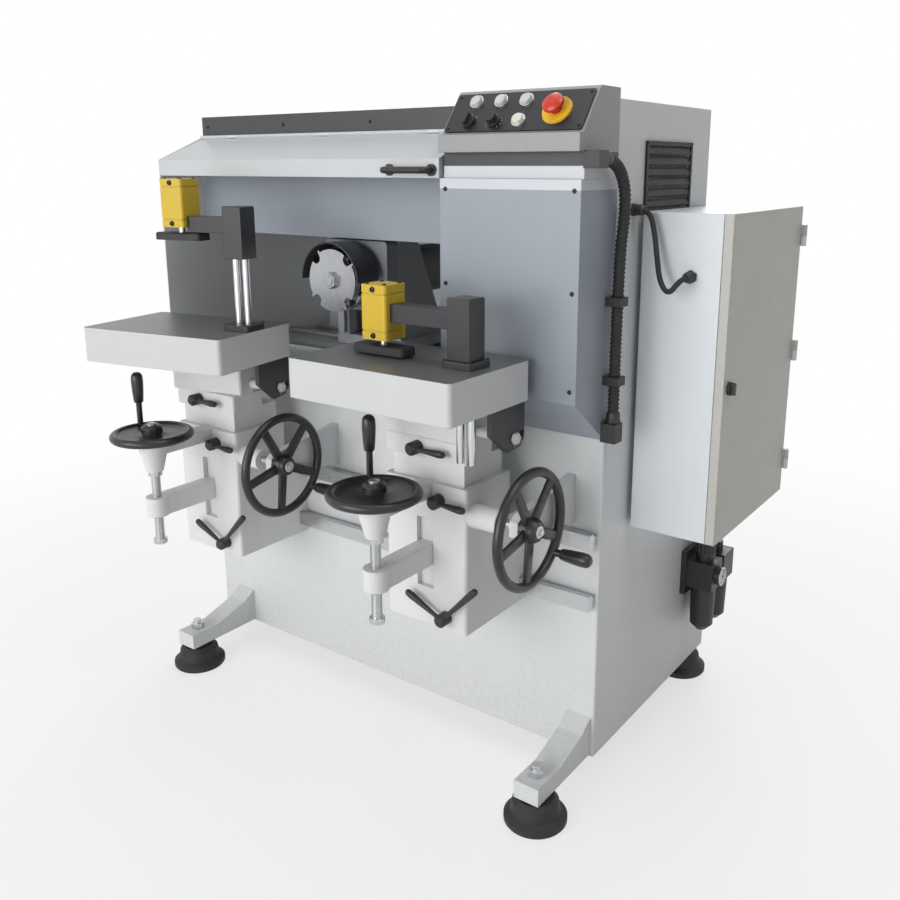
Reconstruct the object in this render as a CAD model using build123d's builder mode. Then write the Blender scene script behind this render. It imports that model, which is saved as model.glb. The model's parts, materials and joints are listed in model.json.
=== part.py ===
"""Double-table tenoning machine: a welded base, two lifting and tilting tables
with clamps, a travelling cutter head behind them, covers and controls.

Millimetres, +Z up, the tables face -Y.  The origin is under the middle of the
machine, on the floor."""

import os
from math import cos, radians, sin

from build123d import *

os.makedirs("parts", exist_ok=True)

# Clearances
slide_gap = 0.3
bearing_gap = 0.05

# Welded base
base_left = -725.0
base_width = 1233.0
base_right = base_left + base_width
base_front = -81.0
base_depth = 636.0
base_rear = base_front + base_depth
base_bottom = 60.0
base_top = 840.0
base_wall = 6.0
bed_plate = 8.0
base_corner = 5.0
panel_opening_x = (-560.0, 340.0)
panel_opening_z = (160.0, 760.0)
panel_lap = 25.0
panel_slot = (160.0, 9.0)
panel_slot_pitch = (420.0, 24.0)
panel_slot_rows = 6
sheet = 3.0

# Feet and the legs that carry them
leg_width = 60.0
leg_centres = (-630.0, base_right - 38.0)
leg_bottom = 64.0
leg_top = 104.0
leg_root = 160.0
leg_nose = -302.0
front_foot_y = -262.0
rear_foot_y = 495.0
pad_radius = 68.0
cup_radius = 50.0
bolt_radius = 10.0
nut_radius = 17.0
pad_top = 58.0

# Linear rails: the pair on the front of the base and the pair on its bed
rail_reach = 30.0
rail_head = 16.0
rail_neck_half = 11.0
rail_head_half = 17.0
front_rail_z = (440.0, 580.0)
front_rail_x = (-700.0, 500.0)
bed_rail_reach = 28.0
bed_rail_y = (60.0, 330.0)
bed_rail_x = (-700.0, 408.0)

# Tables
table_x = {"left": -470.0, "right": 220.0}
table_half = 200.0
table_front = -491.0
table_rear = -231.0
table_top = 985.0
table_plate = 25.0
table_skirt = 80.0
table_wall = 12.0
table_corner = 10.0
tilt_y = -268.0
tilt_z = 928.0
trunnion_radius = 12.0
tongue_half = 60.0
tongue_radius = 22.0
tongue_heel = 8.0
lug_width = 22.0
lug_radius = 23.0
sector_thickness = 11.0
sector_x = table_half - table_wall - sector_thickness + 1
sector_front = 78.0
sector_rear = 37.0
sector_drop = 120.0
sector_slot_radius = 95.0
sector_stud_radius = 7.0
tie_radius = 11.0

# Saddle, a sleeve that runs on the front rails
saddle_half = 105.0
saddle_front = -313.0
sleeve_rear = -153.0
sleeve_wall = 12.0
saddle_bottom = 400.0
sleeve_top = 720.0
shoe_top = 620.0
shoe_rear = base_front - 2.0
slot_half = 21.0
slot_z = (485.0, 640.0)

# Knee, the column that lifts in the sleeve
knee_gap = 0.4
knee_bottom = 475.0
knee_head_z = (770.0, 812.0)
knee_head_rear = -216.0
knee_wall = 12.0
nut_z = (540.0, 585.0)
nut_radius_outer = 26.0

# Swivel head on the knee: it turns the table on a king pin; rest angles in degrees
swivel_y = (saddle_front + knee_head_rear) / 2
swivel_top = 885.0
swivel_rest = {"left": 10.5, "right": 0.0}
king_pin_radius = 25.0
king_pin_top = 868.0

# Lift screw and its horizontal handwheel
lift_y = -468.0
lift_screw_radius = 11.0
lift_screw_bottom = 480.0
lift_boss_z = (650.0, 722.0)
lift_boss_radius = (20.0, 36.0)
lift_arm_half = 22.0
lift_arm_z = (690.0, 720.0)
wheel_rim = 10.0
lift_wheel_radius = 85.0
lift_wheel_z = 738.0
lift_hub_top = 762.0
lift_handle_at = {"left": (-80.0, 26.0), "right": (-62.0, 58.0)}
lift_handle_top = 872.0

# Cross screw and its upright handwheel
cross_y = -285.0
cross_z = 660.0
cross_screw_radius = 10.0
cross_boss_radius = 25.0
cross_boss_end = 172.0
bracket_x = (205.0, 225.0)
cross_wheel_radius = 115.0
cross_wheel_x = 240.0
cross_grip_length = 70.0

# Lock levers on the front of knee and saddle: offset from the table's middle, height
swivel_lever_at = (-16.0, 791.0)
swivel_lever_length = 82.0
knee_lever_at = (39.0, 686.0)
knee_lever_length = 76.0
saddle_lever_at = (55.0, 430.0)
saddle_lever_arms = ((156, 102.0), (46, 128.0))
lever_stud_radius = 6.0
lever_stud_depth = 10.0
lever_hub_radius = 14.0
lever_hub_length = 30.0

# Workpiece clamps: the head rides on two rods, raised on the left-hand table
clamp_y = -358.0
clamp_post_x = {"left": 165.0, "right": 138.0}
clamp_block = 50.0
clamp_flange = (70.0, 66.0, 14.0)
clamp_head = 116.0
clamp_rod_radius = 8.0
clamp_rod_spread = 13.0
clamp_rod_length = 205.0
clamp_arm_z = (70.0, 106.0)
clamp_cylinder_x = {"left": 2.0, "right": -62.0}
clamp_cylinder_width = 64.0
clamp_cylinder_z = (34.0, 142.0)
clamp_pad = (130.0, 46.0, 17.0)
clamp_pad_lift = 4.0
clamp_stem = 68.0
clamp_rise = {"left": 148.0, "right": 0.0}
clamp_shift = {"left": 47.0, "right": 0.0}

# Covers
cover_front = -206.0
cover_left = 183.0
cover_bottom = 900.0
apron_bottom = 800.0
housing_front = -62.0
housing_rear = 397.0
housing_top = 1475.0
housing_sill = housing_top - 295.0
strip_bottom = housing_top - 51.0
strip_rear = -30.0
cover_gap = 0.5

# Hinged hood over the cutters
hood_right = 181.0
hood_band_top = strip_bottom - 59.0
hood_bottom = hood_band_top - 39.0
cover_top = hood_bottom
hood_hinge_y = housing_front - 5.0
hood_hinge_z = strip_bottom
hood_barrel = 4.0
hood_pin = 2.0
hood_knuckles = (-600.0, -270.0, 60.0)
knuckle_half = 18.0
hood_handle_x = (52.0, 163.0)
hood_handle_z = hood_bottom + 16.0
hood_handle_reach = 32.0
hood_handle_radius = 7.0

# Control console
console_left = 187.0
console_front = -216.0
console_plinth = cover_top + 50.0
console_ledge = console_plinth + 34.0
console_face_y = -203.0
console_run = 60.0
console_rise = 80.0
console_top = console_ledge + console_rise + 5.0
face_thickness = 4.0
button_columns = (245.0, 303.0, 361.0)
upper_row = 74.0
lower_row = 26.0
button_radius = 11.0
button_hole = button_radius + slide_gap
bezel_radius = 15.0
bezel_height = 8.0
knob_stem = 5.0
estop_x = 437.0
estop_s = 48.0
estop_ring = 30.0

# Electric cabinet on the right-hand side
cabinet_x = (520.0, 690.0)
cabinet_y = (37.0, 477.0)
cabinet_z = (575.0, 1260.0)
cabinet_lip = 14.0
door_gap = 1.0
door_face = 710.0
door_pin_x = 716.0
door_pin_y = 481.0
door_pin_radius = 3.5
knuckle_radius = 6.0
knuckle_length = 24.0
hinge_heights = (630.0, 900.0, 1170.0)
lock_y = 66.0
lock_z = 910.0
lock_stem = 6.0

# Vent, conduit, cable and air unit on the right-hand side
vent_y = (65.0, 282.0)
vent_z = (housing_top - 213.0, housing_top - 83.0)
conduit_radius = 12.0
conduit_x = base_right + 20.0
conduit_z = (cover_top + 36.0, base_top + 2.0)
clip_z = (930.0, 1090.0)
clip_half = 9.0
conduit_y = (-168.0, -84.0)
cable_radius = 5.5
cable_exit = (base_right + 14.0, 12.0, 1264.0)
cable_entry = (628.0, cabinet_y[0] - 14.0, 1134.0)
gland_radius = 11.0
air_x = base_right + 46.0
air_y = (415.0, 495.0)
air_half = 34.0
air_body_z = (300.0, 372.0)
air_bowl = 120.0
air_knob_z = 386.0
air_stem = 8.0

# Carriage with the cutter head, inside the housing
carriage_x = -200.0
carriage_half = 110.0
carriage_plate_z = (905.0, 930.0)
column_half = 100.0
column_y = (0.0, 30.0)
column_top = housing_top - 145.0
column_window_half = 70.0
runner_half = 28.0
feed_y = 195.0
feed_z = 872.0
feed_radius = 10.0
feed_journal = 8.0
feed_x = (-690.0, 412.0)
feed_block = 16.0
head_rail_x = 85.0
head_rail_reach = 14.0
head_rail_head = 7.0
head_rail_neck_half = 6.0
head_rail_head_half = 10.0
spindle_z = 1085.0
column_window_top = spindle_z + 70.0
head_plate_z = (spindle_z - 80.0, spindle_z + 90.0)
head_plate_front = -45.0
nose_radius = 48.0
nose_front = -75.0
barrel_radius = 62.0
barrel_rear = 300.0
journal_radius = 15.0
journal_depth = 55.0
flange_radius = 30.0
flange_length = 7.0
arbor_radius = 12.0
cutter_width = 18.0
spacer_width = 12.0
cutter_radius = 80.0
cutter_body = 74.0
knives = 4
guard_radius = 91.0
guard_depth = 74.0
spigot_x = -108.0
spigot_z = housing_top - 325.0
spigot_radius = 60.0
spigot_length = 60.0

right = (1, 0, 0)
back = (0, 1, 0)
front = (0, -1, 0)
up = (0, 0, 1)


def block(x, y, z, mode=Mode.ADD):
    """A rectangular block between two limits on each axis."""
    with BuildSketch(Plane.XY.offset(z[0])) as base:
        with Locations(((x[0] + x[1]) / 2, (y[0] + y[1]) / 2)):
            Rectangle(x[1] - x[0], y[1] - y[0])
    extrude(base.sketch, amount=z[1] - z[0], dir=up, mode=mode)


def side_plane(x):
    """A sketch plane across the machine: sketch X is Y, sketch Y is up."""
    return Plane(origin=(x, 0, 0), x_dir=back, z_dir=right)


def bar_x(x, points, mode=Mode.ADD):
    """A straight bar along X whose section is drawn in Y and Z."""
    with BuildSketch(side_plane(x[0])) as section:
        Polygon(*points, align=None)
    extrude(section.sketch, amount=x[1] - x[0], dir=right, mode=mode)


def rod(start, axis, radius, length, mode=Mode.ADD):
    """A round bar or bore from a point along an axis."""
    with BuildSketch(Plane(origin=start, z_dir=axis)) as end:
        Circle(radius)
    extrude(end.sketch, amount=length, dir=axis, mode=mode)


def turned(centre, axis, profile, mode=Mode.ADD):
    """A turned body: the profile lists radius and distance along the axis."""
    across = Vector(right) if axis in (up, front, back) else Vector(up)
    plane = Plane(origin=centre, x_dir=across, z_dir=across.cross(Vector(axis)))
    with BuildSketch(plane) as half:
        Polygon(*profile, align=None)
    revolve(half.sketch, axis=Axis(centre, axis), mode=mode)


def tee(reach, head_depth, neck, head, gap=0.0):
    """Section of a T rail as reach and half width; a gap makes it the slot."""
    step = reach - head_depth - gap
    tip = reach + gap
    half = [(0, neck), (step, neck), (step, head), (tip, head)]
    grown = [(a, b + gap) for a, b in half]
    return grown + [(a, -b) for a, b in reversed(grown)]


def front_rail(z, gap=0.0):
    section = tee(rail_reach, rail_head, rail_neck_half, rail_head_half, gap)
    return [(base_front - a, z + b) for a, b in section]


def bed_rail(y, gap=0.0):
    section = tee(bed_rail_reach, rail_head, rail_neck_half, rail_head_half, gap)
    return [(y + b, base_top + a) for a, b in section]


def handwheel(centre, axis, radius, spokes, spoke_width):
    """Rim of a handwheel about an axis through its centre, with spokes or a disc."""
    octagon = [
        (radius + wheel_rim * cos(radians(a)), wheel_rim * sin(radians(a)))
        for a in range(0, 360, 45)
    ]
    turned(centre, axis, octagon)
    with BuildSketch(Plane(origin=centre, z_dir=axis).offset(-wheel_rim / 2)) as arms:
        if spokes:
            with PolarLocations(0, spokes, start_angle=30):
                with Locations((radius / 2, 0)):
                    Rectangle(radius, spoke_width)
        else:
            Circle(radius - 2)
    extrude(arms.sketch, amount=wheel_rim, dir=axis)


def save(builder, name, side=None):
    """Write one piece; a piece above the knee of a side is turned to its rest angle."""
    piece = builder.part
    if side and swivel_rest[side]:
        piece = piece.rotate(Axis((table_x[side], swivel_y, 0), up), swivel_rest[side])
    piece.label = name
    export_step(piece, f"parts/{name}.step")


def base_parts():
    inner_front = base_front + base_wall
    inner_rear = base_rear - base_wall

    with BuildPart() as base_frame:
        block((base_left, base_right), (base_front, base_rear), (base_bottom, base_top))
        fillet(base_frame.edges().filter_by(Axis.Z), base_corner)
        block(
            (base_left + base_wall, base_right - base_wall),
            (inner_front, inner_rear),
            (base_bottom, base_top - bed_plate),
            Mode.SUBTRACT,
        )
        block(panel_opening_x, (inner_rear, base_rear), panel_opening_z, Mode.SUBTRACT)
        for x in leg_centres:
            sides = (x - leg_width / 2, x + leg_width / 2)
            bar_x(
                sides,
                [
                    (inner_front, leg_bottom),
                    (inner_front, leg_root),
                    (base_front - 39, (leg_root + leg_top) / 2),
                    (front_foot_y + 47, leg_top),
                    (leg_nose, leg_top),
                    (leg_nose, leg_bottom),
                ],
            )
            block(sides, (rear_foot_y - 35, inner_rear + 2), (leg_bottom, leg_top))
            for y in (front_foot_y, rear_foot_y):
                rod((x, y, leg_bottom), up, bolt_radius + 0.4, leg_top - leg_bottom, Mode.SUBTRACT)
        for x in table_x.values():
            bar_x(
                (x + bracket_x[0], x + bracket_x[1]),
                [
                    (inner_front, cross_z - 52),
                    (inner_front, cross_z + 55),
                    (cross_y, cross_z + 28),
                    (cross_y - 22, cross_z + 16),
                    (cross_y - 22, cross_z - 16),
                    (cross_y, cross_z - 28),
                ],
            )
            rod(
                (x + bracket_x[0], cross_y, cross_z),
                right,
                cross_screw_radius + bearing_gap,
                bracket_x[1] - bracket_x[0],
                Mode.SUBTRACT,
            )
        block(
            (feed_x[0] - 20, feed_x[0] - slide_gap),
            (feed_y - 26, feed_y + 26),
            (base_top - 2, feed_z + 22),
        )
        rod(
            (feed_x[0] - 20, feed_y, feed_z), right, feed_journal + bearing_gap, 20.0, Mode.SUBTRACT
        )
        elbow_y = (conduit_y[1] - 16, conduit_y[1] + 16)
        elbow_low = conduit_z[1] - 40
        block((base_right, base_right + 34), elbow_y, (elbow_low, conduit_z[1]))
        block((base_right - 2, base_right + 1), (base_front + 6, elbow_y[1]), (elbow_low, base_top - 2))
    save(base_frame, "base_frame")

    with BuildPart() as rear_panel:
        block(
            (panel_opening_x[0] - panel_lap, panel_opening_x[1] + panel_lap),
            (base_rear, base_rear + sheet),
            (panel_opening_z[0] - panel_lap, panel_opening_z[1] + panel_lap),
        )
        fillet(rear_panel.edges().filter_by(Axis.Y), 12.0)
        middle_x = sum(panel_opening_x) / 2
        for level in range(panel_slot_rows):
            row_z = panel_opening_z[1] - 80 - panel_slot_pitch[1] * level
            with BuildSketch(Plane.XZ.offset(-base_rear)):
                with Locations((middle_x, row_z)):
                    with GridLocations(panel_slot_pitch[0], 1, 2, 1):
                        SlotOverall(*panel_slot)
            extrude(amount=-sheet, mode=Mode.SUBTRACT)
    save(rear_panel, "rear_panel")

    with BuildPart() as leveling_feet:
        for x in leg_centres:
            for y in (front_foot_y, rear_foot_y):
                turned(
                    (x, y, 0),
                    up,
                    [
                        (0, 0),
                        (pad_radius - 3, 0),
                        (pad_radius, 4),
                        (pad_radius, 15),
                        (cup_radius + 4, 24),
                        (cup_radius, pad_top - 10),
                        (cup_radius - 10, pad_top),
                        (0, pad_top),
                    ],
                )
                rod((x, y, pad_top), up, bolt_radius, leg_top + 26 - pad_top)
                for low, high in ((pad_top, leg_bottom), (leg_top, leg_top + 16)):
                    with BuildSketch(Plane.XY.offset(low)):
                        with Locations((x, y)):
                            RegularPolygon(nut_radius, 6)
                    extrude(amount=high - low)
    save(leveling_feet, "leveling_feet")

    with BuildPart() as guide_rails:
        for z in front_rail_z:
            bar_x(front_rail_x, front_rail(z))
        for y in bed_rail_y:
            bar_x(bed_rail_x, bed_rail(y))
    save(guide_rails, "guide_rails")


def saddle_parts(side):
    x = table_x[side]
    sides = (x - saddle_half, x + saddle_half)

    with BuildPart() as saddle:
        block(sides, (saddle_front, sleeve_rear), (saddle_bottom, sleeve_top))
        fillet(saddle.edges().filter_by(Axis.Z).group_by(Axis.Y)[0], 8.0)
        block(
            (sides[0] + sleeve_wall, sides[1] - sleeve_wall),
            (saddle_front + sleeve_wall, sleeve_rear - sleeve_wall),
            (saddle_bottom + sleeve_wall, sleeve_top),
            Mode.SUBTRACT,
        )
        block(
            (x - slot_half, x + slot_half),
            (saddle_front, saddle_front + sleeve_wall),
            slot_z,
            Mode.SUBTRACT,
        )
        block(sides, (sleeve_rear, shoe_rear), (saddle_bottom, shoe_top))
        for z in front_rail_z:
            bar_x(sides, front_rail(z, slide_gap), Mode.SUBTRACT)
        block(
            (x - lift_arm_half, x + lift_arm_half), (lift_y, saddle_front + 2), lift_arm_z
        )
        turned(
            (x, lift_y, 0),
            up,
            [
                (0, lift_boss_z[0]),
                (lift_boss_radius[0], lift_boss_z[0]),
                (lift_boss_radius[1], lift_boss_z[1] - 8),
                (lift_boss_radius[1], lift_boss_z[1]),
                (0, lift_boss_z[1]),
            ],
        )
        rod(
            (x, lift_y, lift_boss_z[0]),
            up,
            lift_screw_radius + bearing_gap,
            lift_boss_z[1] - lift_boss_z[0],
            Mode.SUBTRACT,
        )
        boss_start = saddle_half - 2
        rod((x + boss_start, cross_y, cross_z), right, cross_boss_radius, cross_boss_end - boss_start)
        rod(
            (x + saddle_half + 7, cross_y, cross_z),
            right,
            cross_screw_radius + bearing_gap,
            cross_boss_end - saddle_half - 7,
            Mode.SUBTRACT,
        )
        for at in (knee_lever_at, saddle_lever_at):
            rod(
                (x + at[0], saddle_front, at[1]),
                back,
                lever_stud_radius + bearing_gap,
                lever_stud_depth + 1,
                Mode.SUBTRACT,
            )
    save(saddle, f"saddle_{side}")


def knee_parts(side):
    x = table_x[side]
    sides = (x - saddle_half + sleeve_wall + knee_gap, x + saddle_half - sleeve_wall - knee_gap)
    deep = (saddle_front + sleeve_wall + knee_gap, sleeve_rear - sleeve_wall - knee_gap)
    head = (x - saddle_half, x + saddle_half)

    with BuildPart() as knee:
        block(head, (saddle_front, knee_head_rear), knee_head_z)
        fillet(knee.edges().filter_by(Axis.Z), 8.0)
        block(sides, deep, (knee_bottom, knee_head_z[0] + 2))
        block(
            (sides[0] + knee_wall, sides[1] - knee_wall),
            (deep[0] + knee_wall, deep[1] - knee_wall),
            (knee_bottom, knee_head_z[0] - knee_wall),
            Mode.SUBTRACT,
        )
        pin_bottom = knee_head_z[1] - 1
        rod((x, swivel_y, pin_bottom), up, king_pin_radius, king_pin_top - pin_bottom)
        chamfer(knee.faces().sort_by(Axis.Z)[-1].edges(), 2.0)
        block(
            (x - slot_half + 1, x + slot_half - 1), (lift_y, deep[0] + knee_wall), nut_z
        )
        rod((x, lift_y, nut_z[0]), up, nut_radius_outer, nut_z[1] - nut_z[0])
        rod(
            (x, lift_y, nut_z[0]),
            up,
            lift_screw_radius + bearing_gap,
            nut_z[1] - nut_z[0],
            Mode.SUBTRACT,
        )
        rod(
            (x + swivel_lever_at[0], saddle_front, swivel_lever_at[1]),
            back,
            lever_stud_radius + bearing_gap,
            lever_stud_depth + 1,
            Mode.SUBTRACT,
        )
    save(knee, f"knee_{side}")


def swivel_parts(side):
    x = table_x[side]
    head_low = knee_head_z[1] + slide_gap
    tongue = (x - tongue_half, x + tongue_half)
    stud_z = tilt_z - sector_slot_radius
    plate_x = x + sector_x

    with BuildPart() as swivel_head:
        block(
            (x - saddle_half, x + saddle_half),
            (saddle_front, knee_head_rear),
            (head_low, swivel_top),
        )
        fillet(swivel_head.edges().filter_by(Axis.Z), 8.0)
        rod(
            (x, swivel_y, head_low),
            up,
            king_pin_radius + 2 * bearing_gap,
            king_pin_top + 1 - head_low,
            Mode.SUBTRACT,
        )
        bar_x(
            tongue,
            [
                (tilt_y - tongue_radius - 8, swivel_top - 1),
                (tilt_y - tongue_radius, tilt_z),
                (tilt_y + tongue_radius, tilt_z),
                (tilt_y + tongue_heel, swivel_top - 1),
            ],
        )
        rod((tongue[0], tilt_y, tilt_z), right, tongue_radius, 2 * tongue_half)
        rod(
            (tongue[0], tilt_y, tilt_z),
            right,
            trunnion_radius + bearing_gap,
            2 * tongue_half,
            Mode.SUBTRACT,
        )
        tie_end = plate_x - 2 * slide_gap
        nut_x = plate_x + sector_thickness + 2 * slide_gap
        tie_start = x + saddle_half - 3
        rod((tie_start, tilt_y, stud_z), right, tie_radius, tie_end - tie_start)
        rod((tie_end - 1, tilt_y, stud_z), right, sector_stud_radius, nut_x + 11 - tie_end)
        with BuildSketch(side_plane(nut_x)):
            with Locations((tilt_y, stud_z)):
                RegularPolygon(sector_stud_radius + 5, 6)
        extrude(amount=8.0)
    save(swivel_head, f"swivel_head_{side}", side)


def table_parts(side):
    x = table_x[side]
    under = table_top - table_plate
    skirt = table_top - table_skirt
    sides = (x - table_half, x + table_half)
    lug = tongue_half + 2 * slide_gap
    stub = lug - 30.0
    plate_x = x + sector_x
    inner_rear = table_rear - table_wall
    slot_line = CenterArc((tilt_y, tilt_z), sector_slot_radius, -91, 17)

    with BuildPart() as table:
        block(sides, (table_front, table_rear), (skirt, table_top))
        fillet(table.edges().filter_by(Axis.Z), table_corner)
        block(
            (sides[0] + table_wall, sides[1] - table_wall),
            (table_front + table_wall, inner_rear),
            (skirt, under),
            Mode.SUBTRACT,
        )
        for way in (-1, 1):
            near = x + way * lug
            far = x + way * (lug + lug_width)
            ends = (min(near, far), max(near, far))
            bar_x(
                ends,
                [
                    (tilt_y - lug_radius, tilt_z),
                    (tilt_y - lug_radius - 10, under + 1),
                    (tilt_y + lug_radius, under + 1),
                    (tilt_y + lug_radius, tilt_z),
                ],
            )
            rod((ends[0], tilt_y, tilt_z), right, lug_radius, lug_width)
            rod((x + way * stub, tilt_y, tilt_z), (way, 0, 0), trunnion_radius, lug - stub + 2)
        with BuildSketch(side_plane(plate_x)):
            Polygon(
                (tilt_y - sector_front, under + 1),
                (inner_rear - 1, under + 1),
                (inner_rear - 1, skirt + 1),
                (tilt_y + sector_rear, skirt + 1),
                (tilt_y + sector_rear, tilt_z - sector_drop + 18),
                (tilt_y + sector_rear - 14, tilt_z - sector_drop + 4),
                (tilt_y - 22, tilt_z - sector_drop),
                (tilt_y - sector_front, tilt_z - 0.62 * sector_drop),
                align=None,
            )
            SlotArc(slot_line, 2 * sector_stud_radius + 2, mode=Mode.SUBTRACT)
        extrude(amount=sector_thickness)
        for way in (-1, 1):
            rod(
                (x + clamp_post_x[side] + way * clamp_rod_spread, clamp_y, under),
                up,
                clamp_rod_radius + 1,
                table_plate,
                Mode.SUBTRACT,
            )
    save(table, f"table_{side}", side)


def screw_parts(side):
    x = table_x[side]
    hub_bottom = lift_boss_z[1] + slide_gap
    spindle_top = lift_wheel_z - 3

    with BuildPart() as lift_screw:
        rod((x, lift_y, lift_screw_bottom), up, lift_screw_radius, spindle_top - lift_screw_bottom)
        collar = 12.0
        for low in (lift_boss_z[0] - slide_gap - collar, lift_screw_bottom - collar):
            rod((x, lift_y, low), up, lift_screw_radius + 5, collar)
    save(lift_screw, f"lift_screw_{side}")

    with BuildPart() as lift_wheel:
        handwheel((x, lift_y, lift_wheel_z), up, lift_wheel_radius, 0, 0.0)
        turned(
            (x, lift_y, 0),
            up,
            [
                (0, hub_bottom),
                (27, hub_bottom),
                (24, lift_hub_top - 6),
                (18, lift_hub_top),
                (0, lift_hub_top),
            ],
        )
        rod((x, lift_y, hub_bottom), up, lift_screw_radius, spindle_top - hub_bottom, Mode.SUBTRACT)
        at = lift_handle_at[side]
        grip = (x + at[0], lift_y + at[1], 0)
        turned(
            grip,
            up,
            [
                (0, lift_wheel_z),
                (7, lift_wheel_z),
                (7, lift_wheel_z + 58),
                (11, lift_wheel_z + 62),
                (14, lift_handle_top - 24),
                (11, lift_handle_top - 4),
                (6, lift_handle_top),
                (0, lift_handle_top),
            ],
        )
    save(lift_wheel, f"lift_wheel_{side}")

    hub_start = bracket_x[1] + slide_gap
    screw_end = cross_wheel_x + 4
    with BuildPart() as cross_screw:
        rod((x + 140, cross_y, cross_z), right, cross_screw_radius, screw_end - 140)
        collar_start = bracket_x[0] - slide_gap - 7
        rod((x + collar_start, cross_y, cross_z), right, cross_screw_radius + 5, 7.0)

    with BuildPart() as cross_wheel:
        centre = (x + cross_wheel_x, cross_y, cross_z)
        handwheel(centre, right, cross_wheel_radius, 5, 24.0)
        turned(
            (x, cross_y, cross_z),
            right,
            [
                (0, hub_start),
                (26, hub_start),
                (26, cross_wheel_x + 10),
                (20, cross_wheel_x + 20),
                (0, cross_wheel_x + 20),
            ],
        )
        rod(
            (x + hub_start, cross_y, cross_z),
            right,
            cross_screw_radius + bearing_gap,
            screw_end - hub_start,
            Mode.SUBTRACT,
        )
        grip = (x, cross_y + cross_wheel_radius * 0.75, cross_z - cross_wheel_radius * 0.66)
        start = cross_wheel_x
        end = cross_wheel_x + 20 + cross_grip_length
        turned(
            grip,
            right,
            [
                (0, start),
                (8, start),
                (8, start + 20),
                (11, start + 24),
                (15, end - 16),
                (11, end - 3),
                (6, end),
                (0, end),
            ],
        )
        add(cross_screw.part)
    save(cross_wheel, f"cross_wheel_{side}")


def lever_parts(side):
    x = table_x[side]
    hub_back = saddle_front - slide_gap
    arm_y = hub_back - 18

    def hub(at):
        centre = (x + at[0], 0, at[1])
        turned(
            centre,
            front,
            [
                (0, -hub_back),
                (lever_hub_radius, -hub_back),
                (lever_hub_radius, -hub_back + lever_hub_length - 5),
                (lever_hub_radius - 5, -hub_back + lever_hub_length),
                (0, -hub_back + lever_hub_length),
            ],
        )
        rod((centre[0], hub_back, at[1]), back, lever_stud_radius, lever_stud_depth)

    def arm(at, angle, length):
        plane = Plane(
            origin=(x + at[0], arm_y, at[1]),
            x_dir=(cos(radians(angle)), 0, sin(radians(angle))),
            z_dir=front,
        )
        with BuildSketch(plane) as half:
            Polygon(
                (0, 0), (0, 7), (lever_hub_radius + 6, 4.5), (length - 16, 8),
                (length - 4, 7), (length, 3.5), (length, 0), align=None,
            )
        revolve(half.sketch, axis=Axis(plane.origin, plane.x_dir))

    with BuildPart() as swivel_lever:
        hub(swivel_lever_at)
        arm(swivel_lever_at, 0, swivel_lever_length)
    save(swivel_lever, f"swivel_lever_{side}")

    with BuildPart() as knee_lever:
        hub(knee_lever_at)
        arm(knee_lever_at, -2, knee_lever_length)
    save(knee_lever, f"knee_lever_{side}")

    with BuildPart() as saddle_lever:
        hub(saddle_lever_at)
        for angle, length in saddle_lever_arms:
            arm(saddle_lever_at, angle, length)
    save(saddle_lever, f"saddle_lever_{side}")


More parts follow.
